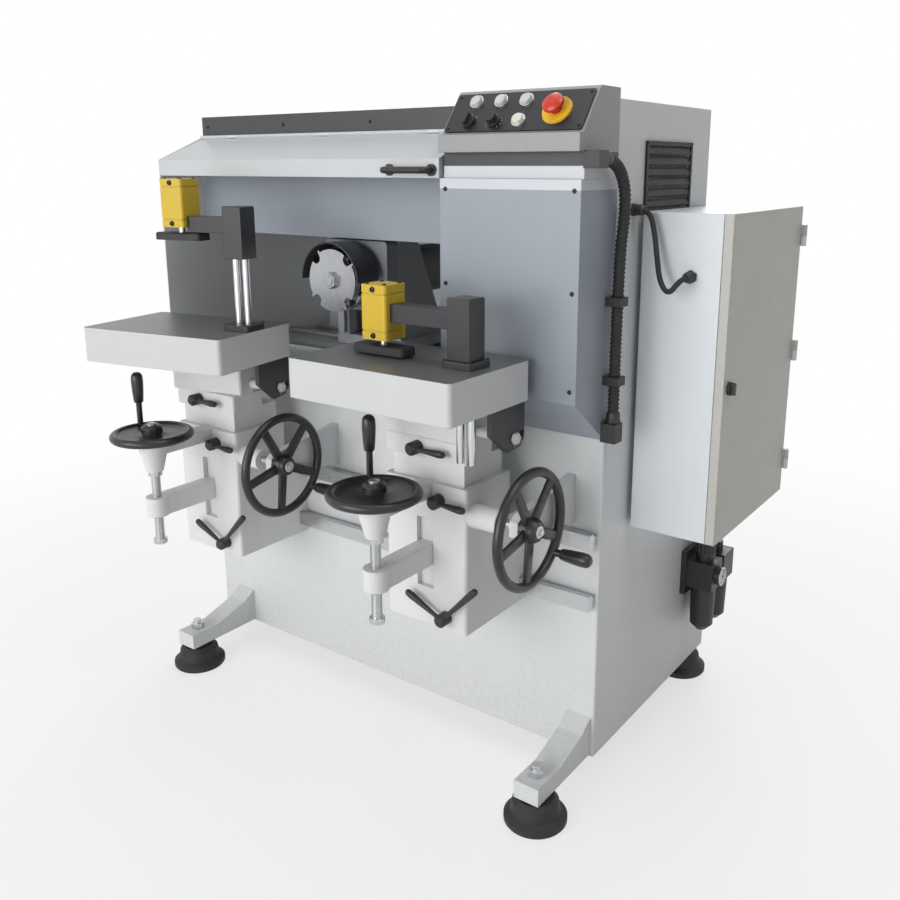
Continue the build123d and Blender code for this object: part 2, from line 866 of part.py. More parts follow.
def clamp_parts(side):
    x = table_x[side]
    half = clamp_block / 2
    post_x = x + clamp_post_x[side]
    post = (post_x - half, post_x + half)
    deep = (clamp_y - half, clamp_y + half)
    flange_top = table_top + clamp_flange[2]
    rods = [post_x + way * clamp_rod_spread for way in (-1, 1)]
    raised = table_top + clamp_rise[side]
    head_low = flange_top + slide_gap + clamp_rise[side]
    head_high = head_low + clamp_head
    wide = clamp_cylinder_width / 2
    body_x = x + clamp_cylinder_x[side]
    lifted = raised + clamp_shift[side]
    body_low = lifted + clamp_cylinder_z[0]
    body_high = lifted + clamp_cylinder_z[1]
    pad_low = lifted + clamp_pad_lift
    pad_high = pad_low + clamp_pad[2]

    with BuildPart() as clamp_post:
        block(
            (post_x - clamp_flange[0] / 2, post_x + clamp_flange[0] / 2),
            (clamp_y - clamp_flange[1] / 2, clamp_y + clamp_flange[1] / 2),
            (table_top, flange_top),
        )
        fillet(clamp_post.edges().filter_by(Axis.Z), 8.0)
        chamfer(clamp_post.faces().sort_by(Axis.Z)[-1].edges(), 1.5)
        for rod_x in rods:
            rod(
                (rod_x, clamp_y, table_top),
                up,
                clamp_rod_radius + bearing_gap,
                clamp_flange[2],
                Mode.SUBTRACT,
            )
    save(clamp_post, f"clamp_post_{side}", side)

    with BuildPart() as clamp_arm:
        block(post, deep, (head_low, head_high))
        chamfer(clamp_arm.faces().sort_by(Axis.Z)[-1].edges(), 2.0)
        block(
            (body_x + wide, post[0] + 4),
            (deep[0] + 7, deep[1] - 7),
            (raised + clamp_arm_z[0], raised + clamp_arm_z[1]),
        )
        for rod_x in rods:
            rod((rod_x, clamp_y, head_low + 4), (0, 0, -1), clamp_rod_radius, clamp_rod_length + 4)
    save(clamp_arm, f"clamp_arm_{side}", side)

    with BuildPart() as clamp_cylinder:
        block(
            (body_x - wide, body_x + wide),
            (clamp_y - wide, clamp_y + wide),
            (body_low, body_high),
        )
        fillet(clamp_cylinder.edges().filter_by(Axis.Z), 7.0)
        for low in (body_low + 16, body_high - 19):
            with BuildSketch(Plane.XY.offset(low)):
                with Locations((body_x, clamp_y)):
                    Rectangle(2 * wide, 2 * wide)
                    RectangleRounded(2 * wide - 3, 2 * wide - 3, 7.0, mode=Mode.SUBTRACT)
            extrude(amount=3.0, mode=Mode.SUBTRACT)
        rod(
            (body_x, clamp_y, body_low),
            up,
            clamp_rod_radius + bearing_gap,
            pad_high + clamp_stem + 22 - body_low,
            Mode.SUBTRACT,
        )
    save(clamp_cylinder, f"clamp_cylinder_{side}", side)

    with BuildPart() as clamp_foot:
        block(
            (body_x - clamp_pad[0] / 2, body_x + clamp_pad[0] / 2),
            (clamp_y - clamp_pad[1] / 2, clamp_y + clamp_pad[1] / 2),
            (pad_low, pad_high),
        )
        fillet(clamp_foot.edges().filter_by(Axis.Z), 10.0)
        chamfer(clamp_foot.faces().sort_by(Axis.Z)[-1].edges(), 3.0)
        rod((body_x, clamp_y, pad_high - 2), up, clamp_rod_radius, clamp_stem + 2)
    save(clamp_foot, f"clamp_foot_{side}", side)


def cover_parts():
    hood_left = base_left + sheet + cover_gap
    inside = cover_front + sheet
    strip_x = (base_left + sheet, cover_left - sheet)

    with BuildPart() as front_cover:
        wide = (cover_left, base_right)
        bar_x(
            wide,
            [
                (housing_front, cover_top),
                (cover_front, cover_top),
                (cover_front, cover_bottom),
                (base_front, apron_bottom),
                (base_front, apron_bottom + 1.3 * sheet),
                (inside, cover_bottom + sheet / 2),
                (inside, cover_top - sheet),
                (housing_front, cover_top - sheet),
            ],
        )
        bar_x(
            (base_right - sheet, base_right),
            [
                (housing_front, cover_top),
                (cover_front, cover_top),
                (cover_front, cover_bottom),
                (base_front, apron_bottom),
                (base_front, base_top),
                (housing_front, base_top),
            ],
        )
        block(
            (cover_left, cover_left + sheet),
            (cover_front, cover_front + 22),
            (cover_bottom, cover_top),
        )
        for z in clip_z:
            level = (z - clip_half, z + clip_half)
            block(
                (base_right - 1, conduit_x + conduit_radius + 4),
                (conduit_y[1] - conduit_radius - 4, conduit_y[1] + conduit_radius + 4),
                level,
            )
            rod(
                (conduit_x, conduit_y[1], level[0]),
                up,
                conduit_radius + bearing_gap,
                2 * clip_half,
                Mode.SUBTRACT,
            )
    save(front_cover, "front_cover")

    with BuildPart() as rear_housing:
        bar_x(
            (base_left, base_left + sheet),
            [
                (base_front, base_top),
                (housing_rear, base_top),
                (housing_rear, housing_top),
                (strip_rear, housing_top),
                (strip_rear, strip_bottom),
                (housing_front, strip_bottom),
                (cover_front, hood_band_top),
                (cover_front, cover_bottom),
            ],
        )
        block((base_right - sheet, base_right), (housing_front, housing_rear), (base_top, housing_top))
        across = (base_left, base_right)
        block(across, (housing_rear - sheet, housing_rear), (base_top, housing_top))
        block(across, (strip_rear, housing_rear), (housing_top - sheet, housing_top))
        block(
            (cover_left, base_right), (housing_front, strip_rear), (housing_top - sheet, housing_top)
        )
        block(across, (housing_front, housing_front + sheet), (housing_sill, strip_bottom))
        block(
            (cover_left, base_right),
            (housing_front, housing_front + sheet),
            (strip_bottom, housing_top),
        )
        left_part = (base_left, cover_left)
        block(left_part, (housing_front, strip_rear + sheet), (strip_bottom - sheet, strip_bottom))
        block(left_part, (strip_rear, strip_rear + sheet), (strip_bottom - sheet, housing_top))
        block(
            (cover_left - sheet, cover_left),
            (housing_front, strip_rear + sheet),
            (strip_bottom - sheet, housing_top),
        )
        for x in hood_knuckles:
            ends = (x - knuckle_half, x + knuckle_half)
            block(
                ends,
                (hood_hinge_y, housing_front + 1),
                (hood_hinge_z - hood_barrel, hood_hinge_z),
            )
            rod((ends[0], hood_hinge_y, hood_hinge_z), right, hood_barrel, 2 * knuckle_half)
            pin_start = ends[0] - 2 * knuckle_half
            rod((pin_start, hood_hinge_y, hood_hinge_z), right, hood_pin, 6 * knuckle_half)
        block((base_right - sheet, base_right), vent_y, vent_z, Mode.SUBTRACT)
        spigot = (spigot_x, housing_rear - sheet, spigot_z)
        rod(spigot, back, spigot_radius, spigot_length + sheet)
        rod(spigot, back, spigot_radius - sheet, spigot_length + sheet, Mode.SUBTRACT)
        rod(
            (base_right - sheet, cable_exit[1], cable_exit[2]),
            right,
            gland_radius,
            cable_exit[0] - base_right + sheet,
        )
    save(rear_housing, "rear_housing")

    with BuildPart() as top_strip:
        bar_x(
            strip_x,
            [
                (housing_front, strip_bottom),
                (housing_front, housing_top),
                (strip_rear, housing_top),
                (strip_rear, housing_top - sheet),
                (housing_front + sheet, housing_top - sheet),
                (housing_front + sheet, strip_bottom),
            ],
        )
        for start in (strip_x[0], strip_x[1] - sheet):
            block((start, start + sheet), (housing_front, strip_rear), (strip_bottom, housing_top))
    save(top_strip, "top_strip")

    with BuildPart() as top_hood:
        wide = (hood_left, hood_right)
        slope_end = hood_hinge_z - hood_barrel
        bar_x(
            wide,
            [
                (cover_front, hood_bottom),
                (cover_front, hood_band_top),
                (hood_hinge_y, slope_end),
                (hood_hinge_y, slope_end - sheet),
                (inside, hood_band_top - 0.6 * sheet),
                (inside, hood_bottom + sheet),
                (cover_front + 16, hood_bottom + sheet),
                (cover_front + 16, hood_bottom),
            ],
        )
        for start in (wide[0], wide[1] - sheet):
            bar_x(
                (start, start + sheet),
                [
                    (cover_front, hood_bottom),
                    (cover_front, hood_band_top),
                    (hood_hinge_y, slope_end),
                    (hood_hinge_y, slope_end - 24),
                ],
            )
        rod((wide[0], hood_hinge_y, hood_hinge_z), right, hood_barrel, wide[1] - wide[0])
        block(
            wide,
            (hood_hinge_y - 1, hood_hinge_y + 1),
            (slope_end - sheet, hood_hinge_z),
        )
        for x in hood_knuckles:
            reach = knuckle_half + slide_gap
            block(
                (x - reach, x + reach),
                (hood_hinge_y - hood_barrel - 1, housing_front),
                (hood_hinge_z - hood_barrel - 1, hood_hinge_z + hood_barrel),
                Mode.SUBTRACT,
            )
            rod(
                (x - 3 * knuckle_half - 1, hood_hinge_y, hood_hinge_z),
                right,
                hood_pin + bearing_gap,
                6 * knuckle_half + 2,
                Mode.SUBTRACT,
            )
    save(top_hood, "top_hood")

    reach = cover_front - hood_handle_reach
    with BuildPart() as hood_handle:
        with BuildLine() as bow:
            FilletPolyline(
                (hood_handle_x[0], cover_front, hood_handle_z),
                (hood_handle_x[0], reach, hood_handle_z),
                (hood_handle_x[1], reach, hood_handle_z),
                (hood_handle_x[1], cover_front, hood_handle_z),
                radius=16.0,
            )
        with BuildSketch(Plane(origin=bow.line @ 0, z_dir=bow.line % 0)):
            Circle(hood_handle_radius)
        sweep()
        for x in hood_handle_x:
            rod((x, cover_front, hood_handle_z), front, hood_handle_radius + 5, 5.0)
    save(hood_handle, "hood_handle")


def console_parts():
    sides = (console_left, base_right)
    top_y = console_face_y + console_run
    outline = [
        (housing_front, cover_top),
        (console_front + 20, cover_top),
        (console_front + 20, console_plinth),
        (console_front, console_plinth),
        (console_front, console_ledge),
        (console_face_y, console_ledge),
        (top_y, console_ledge + console_rise),
        (top_y + 5, console_top),
        (housing_front, console_top),
    ]
    slope = (console_run**2 + console_rise**2) ** 0.5
    normal = (0, -console_rise / slope, console_run / slope)
    face = Plane(origin=(0, console_face_y, console_ledge), x_dir=right, z_dir=normal)
    lamp = (button_columns[2], lower_row)
    selector_at = (button_columns[0], lower_row)
    dial_at = (button_columns[1], lower_row)
    estop_at = (estop_x, estop_s)
    buttons = [(x, upper_row) for x in button_columns]
    wide_bores = buttons + [estop_at]

    def on_face(at, radius, low, high, mode=Mode.ADD):
        with BuildSketch(face.offset(low)) as end:
            with Locations(at):
                Circle(radius)
        extrude(end.sketch, amount=high - low, dir=normal, mode=mode)

    with BuildPart() as console_body:
        bar_x(sides, outline)
        with BuildSketch(side_plane(sides[0] + sheet)):
            Polygon(*outline, align=None)
            offset(amount=-sheet, kind=Kind.INTERSECTION, mode=Mode.REPLACE)
        extrude(amount=sides[1] - sides[0] - 2 * sheet, mode=Mode.SUBTRACT)
        block(
            (sides[0] + 12, sides[1] - 12),
            (housing_front - sheet, housing_front),
            (cover_top + 12, console_top - 12),
            Mode.SUBTRACT,
        )
        for at in wide_bores:
            on_face(at, button_hole, -sheet - 1, 1, Mode.SUBTRACT)
        for at in (selector_at, dial_at):
            on_face(at, knob_stem + bearing_gap, -sheet - 1, 1, Mode.SUBTRACT)
        elbow = (conduit_y[0] - 34, conduit_y[0])
        block(
            (base_right - 2, base_right + 34), elbow, (conduit_z[0] - 16, conduit_z[0] + 16)
        )
    save(console_body, "console_body")

    with BuildPart() as console_face:
        with BuildSketch(face):
            with Locations(((sides[0] + sides[1]) / 2, slope / 2)):
                RectangleRounded(sides[1] - sides[0] - 10, slope - 8, 5.0)
        extrude(amount=face_thickness)
        for at in buttons:
            on_face(at, bezel_radius, 0, bezel_height)
        on_face(estop_at, estop_ring, 0, bezel_height - 1)
        turned_lamp = 6.0
        on_face(lamp, bezel_radius, 0, bezel_height)
        on_face(lamp, button_radius, 0, bezel_height + turned_lamp)
        for at in wide_bores:
            on_face(at, button_hole, -1, bezel_height + 1, Mode.SUBTRACT)
        for at in (selector_at, dial_at):
            on_face(at, knob_stem + bearing_gap, -1, face_thickness + 1, Mode.SUBTRACT)
    save(console_face, "console_face")

    for number, at in enumerate(buttons):
        with BuildPart() as button:
            on_face(at, button_radius, -sheet - slide_gap - 4, bezel_height + 6)
            chamfer(button.faces().sort_by(Axis(face.origin, normal))[-1].edges(), 1.2)
            on_face(at, button_radius + 3, -sheet - slide_gap - 4, -sheet - slide_gap)
        save(button, f"button_{number + 1}")

    knob_low = face_thickness + slide_gap
    with BuildPart() as selector_switch:
        on_face(selector_at, knob_stem, -sheet - 4, knob_low)
        on_face(selector_at, 14.0, knob_low, knob_low + 7)
        with BuildSketch(face.offset(knob_low + 7)):
            with Locations(selector_at):
                SlotOverall(27.0, 9.0, rotation=90)
        extrude(amount=11.0)
    save(selector_switch, "selector_switch")

    with BuildPart() as feed_dial:
        on_face(dial_at, knob_stem, -sheet - 4, knob_low)
        on_face(dial_at, 14.0, knob_low, knob_low + 4)
        on_face(dial_at, 11.0, knob_low + 4, knob_low + 18)
        with BuildSketch(face.offset(knob_low + 17)):
            with Locations((dial_at[0], dial_at[1] + 6)):
                Rectangle(2.0, 10.0)
        extrude(amount=1.0, mode=Mode.SUBTRACT)
    save(feed_dial, "feed_dial")

    with BuildPart() as emergency_stop:
        on_face(estop_at, button_radius, -sheet - slide_gap - 4, 22)
        on_face(estop_at, button_radius + 3, -sheet - slide_gap - 4, -sheet - slide_gap)
        cap = Plane(
            origin=face.from_local_coords((estop_at[0], estop_at[1], 0)), x_dir=normal, z_dir=right
        )
        with BuildSketch(cap):
            Polygon(
                (18, 0), (18, 18), (21, 21), (27, 21), (31, 16), (33, 8), (33, 0), align=None
            )
        revolve(axis=Axis(cap.origin, normal))
    save(emergency_stop, "emergency_stop")


def cabinet_parts():
    hinge_arm = 5.0
    door_x = (cabinet_x[1] + door_gap, door_face)

    with BuildPart() as electric_cabinet:
        block(cabinet_x, cabinet_y, cabinet_z)
        fillet(electric_cabinet.edges().filter_by(Axis.X), 4.0)
        block(
            (cabinet_x[0] + sheet, cabinet_x[1] - sheet),
            (cabinet_y[0] + sheet, cabinet_y[1] - sheet),
            (cabinet_z[0] + sheet, cabinet_z[1] - sheet),
            Mode.SUBTRACT,
        )
        block(
            (cabinet_x[1] - sheet, cabinet_x[1]),
            (cabinet_y[0] + cabinet_lip, cabinet_y[1] - cabinet_lip),
            (cabinet_z[0] + cabinet_lip, cabinet_z[1] - cabinet_lip),
            Mode.SUBTRACT,
        )
        for y in (cabinet_y[0] + 60, cabinet_y[1] - 60):
            for z in (cabinet_z[0] + 60, cabinet_z[1] - 60):
                rod((base_right, y, z), right, 15.0, cabinet_x[0] - base_right + 1)
                rod((cabinet_x[0] + 1, y, z), right, 8.0, 14.0)
        block(
            (cabinet_x[0] + 14, cabinet_x[0] + 17),
            (cabinet_y[0] + 40, cabinet_y[1] - 40),
            (cabinet_z[0] + 40, cabinet_z[1] - 40),
        )
        for z in hinge_heights:
            level = (z, z + knuckle_length)
            outer = cabinet_y[1] + hinge_arm
            block((cabinet_x[1] - 14, cabinet_x[1]), (cabinet_y[1] - 1, outer), level)
            block((cabinet_x[1] - 1, door_pin_x), (cabinet_y[1] + door_gap, outer), level)
            rod((door_pin_x, door_pin_y, z), up, knuckle_radius, knuckle_length)
            rod((door_pin_x, door_pin_y, z), up, door_pin_radius, 2 * knuckle_length)
        gland = (cable_entry[0], cabinet_y[0] + 1, cable_entry[2])
        rod(gland, front, gland_radius, cabinet_y[0] + 1 - cable_entry[1])
    save(electric_cabinet, "electric_cabinet")

    with BuildPart() as cabinet_door:
        block(door_x, cabinet_y, cabinet_z)
        fillet(cabinet_door.edges().filter_by(Axis.X), 4.0)
        block(
            (door_x[0], door_x[1] - sheet),
            (cabinet_y[0] + sheet, cabinet_y[1] - sheet),
            (cabinet_z[0] + sheet, cabinet_z[1] - sheet),
            Mode.SUBTRACT,
        )
        for z in hinge_heights:
            low = z + knuckle_length + slide_gap
            high = z + 2 * knuckle_length
            rod((door_pin_x, door_pin_y, low), up, knuckle_radius, high - low)
            block((door_x[1] - 6, door_pin_x), (cabinet_y[1] - 2, cabinet_y[1] + 3), (low, high))
            rod(
                (door_pin_x, door_pin_y, low),
                up,
                door_pin_radius + bearing_gap,
                high - low,
                Mode.SUBTRACT,
            )
        rod(
            (door_x[1] - sheet, lock_y, lock_z),
            right,
            lock_stem + bearing_gap,
            sheet,
            Mode.SUBTRACT,
        )
    save(cabinet_door, "cabinet_door")

    with BuildPart() as cabinet_lock:
        face = door_face + slide_gap
        rod((door_face - 14, lock_y, lock_z), right, lock_stem, 14 + slide_gap)
        rod((face, lock_y, lock_z), right, 14.0, 6.0)
        with BuildSketch(side_plane(face + 6)):
            with Locations((lock_y, lock_z)):
                SlotOverall(26.0, 8.0, rotation=90)
        extrude(amount=-base_left - face - 6)
    save(cabinet_lock, "cabinet_lock")

    with BuildPart() as vent_grille:
        lap = 8.0
        block(
            (base_right, base_right + 5),
            (vent_y[0] - lap, vent_y[1] + lap),
            (vent_z[0] - lap, vent_z[1] + lap),
        )
        block((base_right, base_right + 5), vent_y, vent_z, Mode.SUBTRACT)
        blades = 6
        pitch = (vent_z[1] - vent_z[0]) / blades
        for level in range(blades):
            z = vent_z[0] + pitch * level
            with BuildSketch(Plane.XZ.offset(1 - vent_y[0])):
                Polygon(
                    (base_right + 4.5, z + 3), (base_right + 4.5, z + 6),
                    (base_right + 0.5, z + pitch - 3), (base_right + 0.5, z + pitch - 6), align=None,
                )
            extrude(amount=vent_y[0] - vent_y[1] - 2)
    save(vent_grille, "vent_grille")


def tube(points, radius):
    """A flexible tube through points, its bends as wide as the runs allow."""
    bends = []
    for before, here, after in zip(points, points[1:], points[2:]):
        first = Vector(here) - Vector(before)
        second = Vector(after) - Vector(here)
        half = radians(first.get_angle(second) / 2)
        bends.append(0.45 * min(first.length, second.length) * cos(half) / sin(half))
    with BuildLine() as route:
        FilletPolyline(*points, radius=bends)
    with BuildSketch(Plane(origin=route.line @ 0, z_dir=route.line % 0)) as end:
        Circle(radius)
    sweep(end.sketch, path=route.line)


def cable_parts():
    with BuildPart() as conduit:
        tube(
            [
                (conduit_x, conduit_y[0], conduit_z[0]),
                (conduit_x, conduit_y[0] + 52, conduit_z[0]),
                (conduit_x, conduit_y[0] + 98, conduit_z[0] - 42),
                (conduit_x, conduit_y[0] + 104, conduit_z[0] - 104),
                (conduit_x, conduit_y[1], conduit_z[0] - 186),
                (conduit_x, conduit_y[1], conduit_z[1]),
            ],
            conduit_radius,
        )
    save(conduit, "conduit")

    with BuildPart() as cabinet_cable:
        tube(
            [
                cable_exit,
                (cable_exit[0] + 22, cable_exit[1], cable_exit[2]),
                (cable_exit[0] + 36, cable_exit[1] - 2, cable_exit[2] - 42),
                (cable_exit[0] + 46, cable_exit[1] - 8, cable_exit[2] - 92),
                (cable_exit[0] + 60, cable_exit[1] - 20, cable_exit[2] - 140),
                (cable_entry[0] - 22, cable_entry[1] - 42, cable_entry[2] - 32),
                (cable_entry[0] - 4, cable_entry[1] - 36, cable_entry[2] - 6),
                (cable_entry[0], cable_entry[1] - 16, cable_entry[2]),
                cable_entry,
            ],
            cable_radius,
        )
    save(cabinet_cable, "cabinet_cable")

    regulator_y, oiler_y = air_y
    with BuildPart() as air_unit:
        block(
            (base_right, air_x - air_half + 1),
            (regulator_y - 44, oiler_y + 44),
            (air_body_z[0] - 20, air_body_z[1] + 24),
        )
        for y in air_y:
            block((air_x - air_half, air_x + air_half), (y - air_half, y + air_half), air_body_z)
            turned(
                (air_x, y, 0),
                up,
                [
                    (0, air_body_z[0] - air_bowl),
                    (14, air_body_z[0] - air_bowl),
                    (air_half - 5, air_body_z[0] - air_bowl + 16),
                    (air_half - 2, air_body_z[0] + 1),
                    (0, air_body_z[0] + 1),
                ],
            )
        middle_z = sum(air_body_z) / 2
        rod((air_x, regulator_y, middle_z), back, 20.0, oiler_y - regulator_y)
        rod((air_x, oiler_y, air_body_z[1] - 1), up, 16.0, 26.0)
        rod((air_x, regulator_y, air_body_z[1] - 1), up, 22.0, air_knob_z - air_body_z[1] + 1)
        rod((air_x, regulator_y, air_body_z[1]), up, air_stem + bearing_gap, 14.0, Mode.SUBTRACT)
        rod((air_x + air_half - 1, regulator_y, middle_z), right, 24.0, 15.0)
    save(air_unit, "air_unit")

    with BuildPart() as regulator_knob:
        low = air_knob_z + slide_gap
        rod((air_x, regulator_y, air_body_z[1] + 1), up, air_stem, low - air_body_z[1])
        rod((air_x, regulator_y, low), up, 26.0, 42.0)
        chamfer(regulator_knob.faces().sort_by(Axis.Z)[-1].edges(), 4.0)
        with BuildSketch(Plane.XY.offset(low + 8)):
            with Locations((air_x, regulator_y)):
                with PolarLocations(27.5, 14):
                    Circle(3.6)
        extrude(amount=34.0, mode=Mode.SUBTRACT)
    save(regulator_knob, "regulator_knob")


def head_parts():
    x = carriage_x
    sides = (x - carriage_half, x + carriage_half)

    def head_rail(at, gap=0.0):
        section = tee(
            head_rail_reach, head_rail_head, head_rail_neck_half, head_rail_head_half, gap
        )
        return [(at + b, column_y[0] - a) for a, b in section]

    with BuildPart() as carriage:
        block(sides, (column_y[0], bed_rail_y[1] + runner_half), carriage_plate_z)
        for y in bed_rail_y:
            block(sides, (y - runner_half, y + runner_half), (base_top + 5, carriage_plate_z[0] + 1))
            bar_x(sides, bed_rail(y, slide_gap), Mode.SUBTRACT)
        block((x - 35, x + 35), (feed_y - 25, feed_y + 25), (base_top + 10, carriage_plate_z[0] + 1))
        rod((x - 35, feed_y, feed_z), right, feed_radius + bearing_gap, 70.0, Mode.SUBTRACT)
        block((x - column_half, x + column_half), column_y, (carriage_plate_z[1] - 1, column_top))
        block(
            (x - column_window_half, x + column_window_half),
            column_y,
            (carriage_plate_z[1], column_window_top),
            Mode.SUBTRACT,
        )
        for way in (-1, 1):
            edge = x + way * column_half
            inner = edge - way * 12
            bar_x(
                (min(edge, inner), max(edge, inner)),
                [
                    (column_y[1] - 1, carriage_plate_z[1] - 1),
                    (column_y[1] + 150, carriage_plate_z[1] - 1),
                    (column_y[1] - 1, column_top - 60),
                ],
            )
            with BuildSketch(Plane.XY.offset(carriage_plate_z[1] + 5)):
                Polygon(*head_rail(x + way * head_rail_x), align=None)
            extrude(amount=column_top - 10 - carriage_plate_z[1] - 5)
    save(carriage, "carriage")

    with BuildPart() as carriage_screw:
        rod((feed_x[0], feed_y, feed_z), right, feed_radius, feed_x[1] - feed_x[0])
        rod((feed_x[0] - 14, feed_y, feed_z), right, feed_journal, feed_x[1] - feed_x[0] + 26)
    save(carriage_screw, "carriage_screw")

    with BuildPart() as drive_motor:
        bearing_end = feed_x[1] + feed_block
        block(
            (feed_x[1] + slide_gap, bearing_end),
            (feed_y - 34, feed_y + 34),
            (base_top, feed_z + 32),
        )
        block((bearing_end, 500.0), (feed_y - 30, feed_y + 30), (base_top + 2, feed_z + 30))
        rod(
            (feed_x[1] + slide_gap, feed_y, feed_z),
            right,
            feed_journal + bearing_gap,
            feed_block - 3,
            Mode.SUBTRACT,
        )
    save(drive_motor, "drive_motor")

    plate_rear = column_y[0] - 1
    with BuildPart() as spindle_head:
        block((x - column_half, x + column_half), (head_plate_front, plate_rear), head_plate_z)
        fillet(spindle_head.edges().filter_by(Axis.Y), 10.0)
        rod((x, head_plate_front + 2, spindle_z), front, nose_radius, head_plate_front + 2 - nose_front)
        rod((x, plate_rear - 2, spindle_z), back, barrel_radius, barrel_rear - plate_rear + 2)
        rod((x, barrel_rear - 1, spindle_z), back, barrel_radius - 14, 21.0)
        for way in (-1, 1):
            with BuildSketch(Plane.XY.offset(head_plate_z[0])):
                Polygon(*head_rail(x + way * head_rail_x, slide_gap), align=None)
            extrude(amount=head_plate_z[1] - head_plate_z[0], mode=Mode.SUBTRACT)
        rod(
            (x, nose_front, spindle_z),
            back,
            journal_radius + bearing_gap,
            journal_depth + 1,
            Mode.SUBTRACT,
        )
    save(spindle_head, "spindle_head")

    flange_y = nose_front - slide_gap
    seat_y = flange_y - flange_length
    pack = 2 * cutter_width + spacer_width
    with BuildPart() as spindle_shaft:
        rod((x, flange_y, spindle_z), back, journal_radius, journal_depth)
        rod((x, flange_y, spindle_z), front, flange_radius, flange_length)
        rod((x, seat_y, spindle_z), front, arbor_radius, pack + 14)
        with BuildSketch(Plane(origin=(x, seat_y - pack, spindle_z), z_dir=front)):
            RegularPolygon(20.0, 6)
        extrude(amount=12.0)
    save(spindle_shaft, "spindle_shaft")

    with BuildPart() as cutter_set:
        for start, turn in ((0.0, 0.0), (cutter_width + spacer_width, 45.0)):
            disc = Plane(origin=(x, seat_y - start, spindle_z), z_dir=front)
            with BuildSketch(disc):
                Circle(cutter_body)
                with PolarLocations(cutter_body - 3, knives, start_angle=turn):
                    Circle(13.0, mode=Mode.SUBTRACT)
                with PolarLocations(0, knives, start_angle=turn - 13):
                    with Locations((cutter_radius - 12, 0)):
                        Rectangle(24.0, 5.0)
                Circle(arbor_radius, mode=Mode.SUBTRACT)
            extrude(amount=cutter_width)
        with BuildSketch(Plane(origin=(x, seat_y - cutter_width, spindle_z), z_dir=front)):
            Circle(flange_radius)
            Circle(arbor_radius, mode=Mode.SUBTRACT)
        extrude(amount=spacer_width)
    save(cutter_set, "cutter_set")

    with BuildPart() as cutter_guard:
        guard_rear = housing_front - 4
        with BuildSketch(Plane(origin=(x, guard_rear, spindle_z), x_dir=right, z_dir=front)):
            Circle(guard_radius)
            Circle(guard_radius - sheet, mode=Mode.SUBTRACT)
            with Locations((0, -guard_radius / 2)):
                Rectangle(2 * guard_radius, guard_radius, mode=Mode.SUBTRACT)
        extrude(amount=guard_depth)
        with BuildSketch(Plane(origin=(x, guard_rear, spindle_z), x_dir=right, z_dir=front)):
            Circle(guard_radius)
            Circle(nose_radius + bearing_gap, mode=Mode.SUBTRACT)
            with Locations((0, -guard_radius / 2)):
                Rectangle(2 * guard_radius, guard_radius, mode=Mode.SUBTRACT)
        extrude(amount=sheet)
    save(cutter_guard, "cutter_guard")


base_parts()
for table_side in table_x:
    saddle_parts(table_side)
    knee_parts(table_side)
    swivel_parts(table_side)
    table_parts(table_side)
    screw_parts(table_side)
    lever_parts(table_side)
    clamp_parts(table_side)
cover_parts()
console_parts()
cabinet_parts()
cable_parts()
head_parts()
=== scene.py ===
"""Looks of a double-table tenoning machine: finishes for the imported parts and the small
pieces that dress them.  Metres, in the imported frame; the tables face -Y."""

import json
from math import atan2, cos, pi, radians, sin

import bmesh
import bpy
from mathutils import Matrix, Vector


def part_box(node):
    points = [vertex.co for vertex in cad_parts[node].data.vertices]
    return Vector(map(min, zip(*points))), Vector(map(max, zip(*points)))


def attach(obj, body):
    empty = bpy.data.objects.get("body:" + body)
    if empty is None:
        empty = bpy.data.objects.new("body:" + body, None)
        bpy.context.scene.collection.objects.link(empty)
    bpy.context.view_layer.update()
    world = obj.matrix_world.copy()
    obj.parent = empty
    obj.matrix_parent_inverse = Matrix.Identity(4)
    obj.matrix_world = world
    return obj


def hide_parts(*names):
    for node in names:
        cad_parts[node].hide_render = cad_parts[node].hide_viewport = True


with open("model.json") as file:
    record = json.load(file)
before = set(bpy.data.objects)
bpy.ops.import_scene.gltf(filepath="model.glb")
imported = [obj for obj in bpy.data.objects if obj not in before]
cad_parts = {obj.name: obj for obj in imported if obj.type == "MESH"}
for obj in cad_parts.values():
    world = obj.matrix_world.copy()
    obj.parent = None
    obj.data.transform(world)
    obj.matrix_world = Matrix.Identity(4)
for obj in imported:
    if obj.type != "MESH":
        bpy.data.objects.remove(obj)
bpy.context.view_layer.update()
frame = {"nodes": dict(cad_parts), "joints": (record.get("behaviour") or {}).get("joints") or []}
nodes = frame["nodes"]
scene = bpy.context.scene
table_sides = ("left", "right")

right = Vector((1, 0, 0))
back = Vector((0, 1, 0))
front = Vector((0, -1, 0))
up = Vector((0, 0, 1))


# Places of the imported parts
def middle(node):
    low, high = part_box(node)
    return (low + high) / 2


def joint(name):
    return next(j for j in frame["joints"] if j["name"] == name)


def joint_place(name):
    return Vector(joint(name)["pos_m"])


def with_table(side):
    """The turn that takes a place on a straight table to the table's rest angle."""
    pin = Matrix.Translation(joint_place(f"swivel_{side}_turn"))
    tilt_axis = Vector(joint(f"table_{side}_tilt")["axis"])
    return pin @ Matrix.Rotation(atan2(-tilt_axis.y, -tilt_axis.x), 4, "Z") @ pin.inverted()


wall_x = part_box("vent_grille")[0].x
table_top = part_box("clamp_post_left")[0].z
skirt_height = 0.080
sheet_metal = 0.003
spigot_length = 0.060
housing_low, housing_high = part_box("rear_housing")
rear_sheet_y = housing_high.y - spigot_length
front_plate_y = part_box("front_cover")[1].y
gland_length = 0.014

# The console's sloping face, measured from the selector's centre
selector_place = joint_place("selector_turn")
face_out = -Vector(joint("estop_press")["axis"])
face_up = face_out.cross(right)
face_plate = 0.004
device_columns = (0.0, 0.058, 0.116)
upper_row = 0.048
stop_x, stop_row = 0.192, 0.022


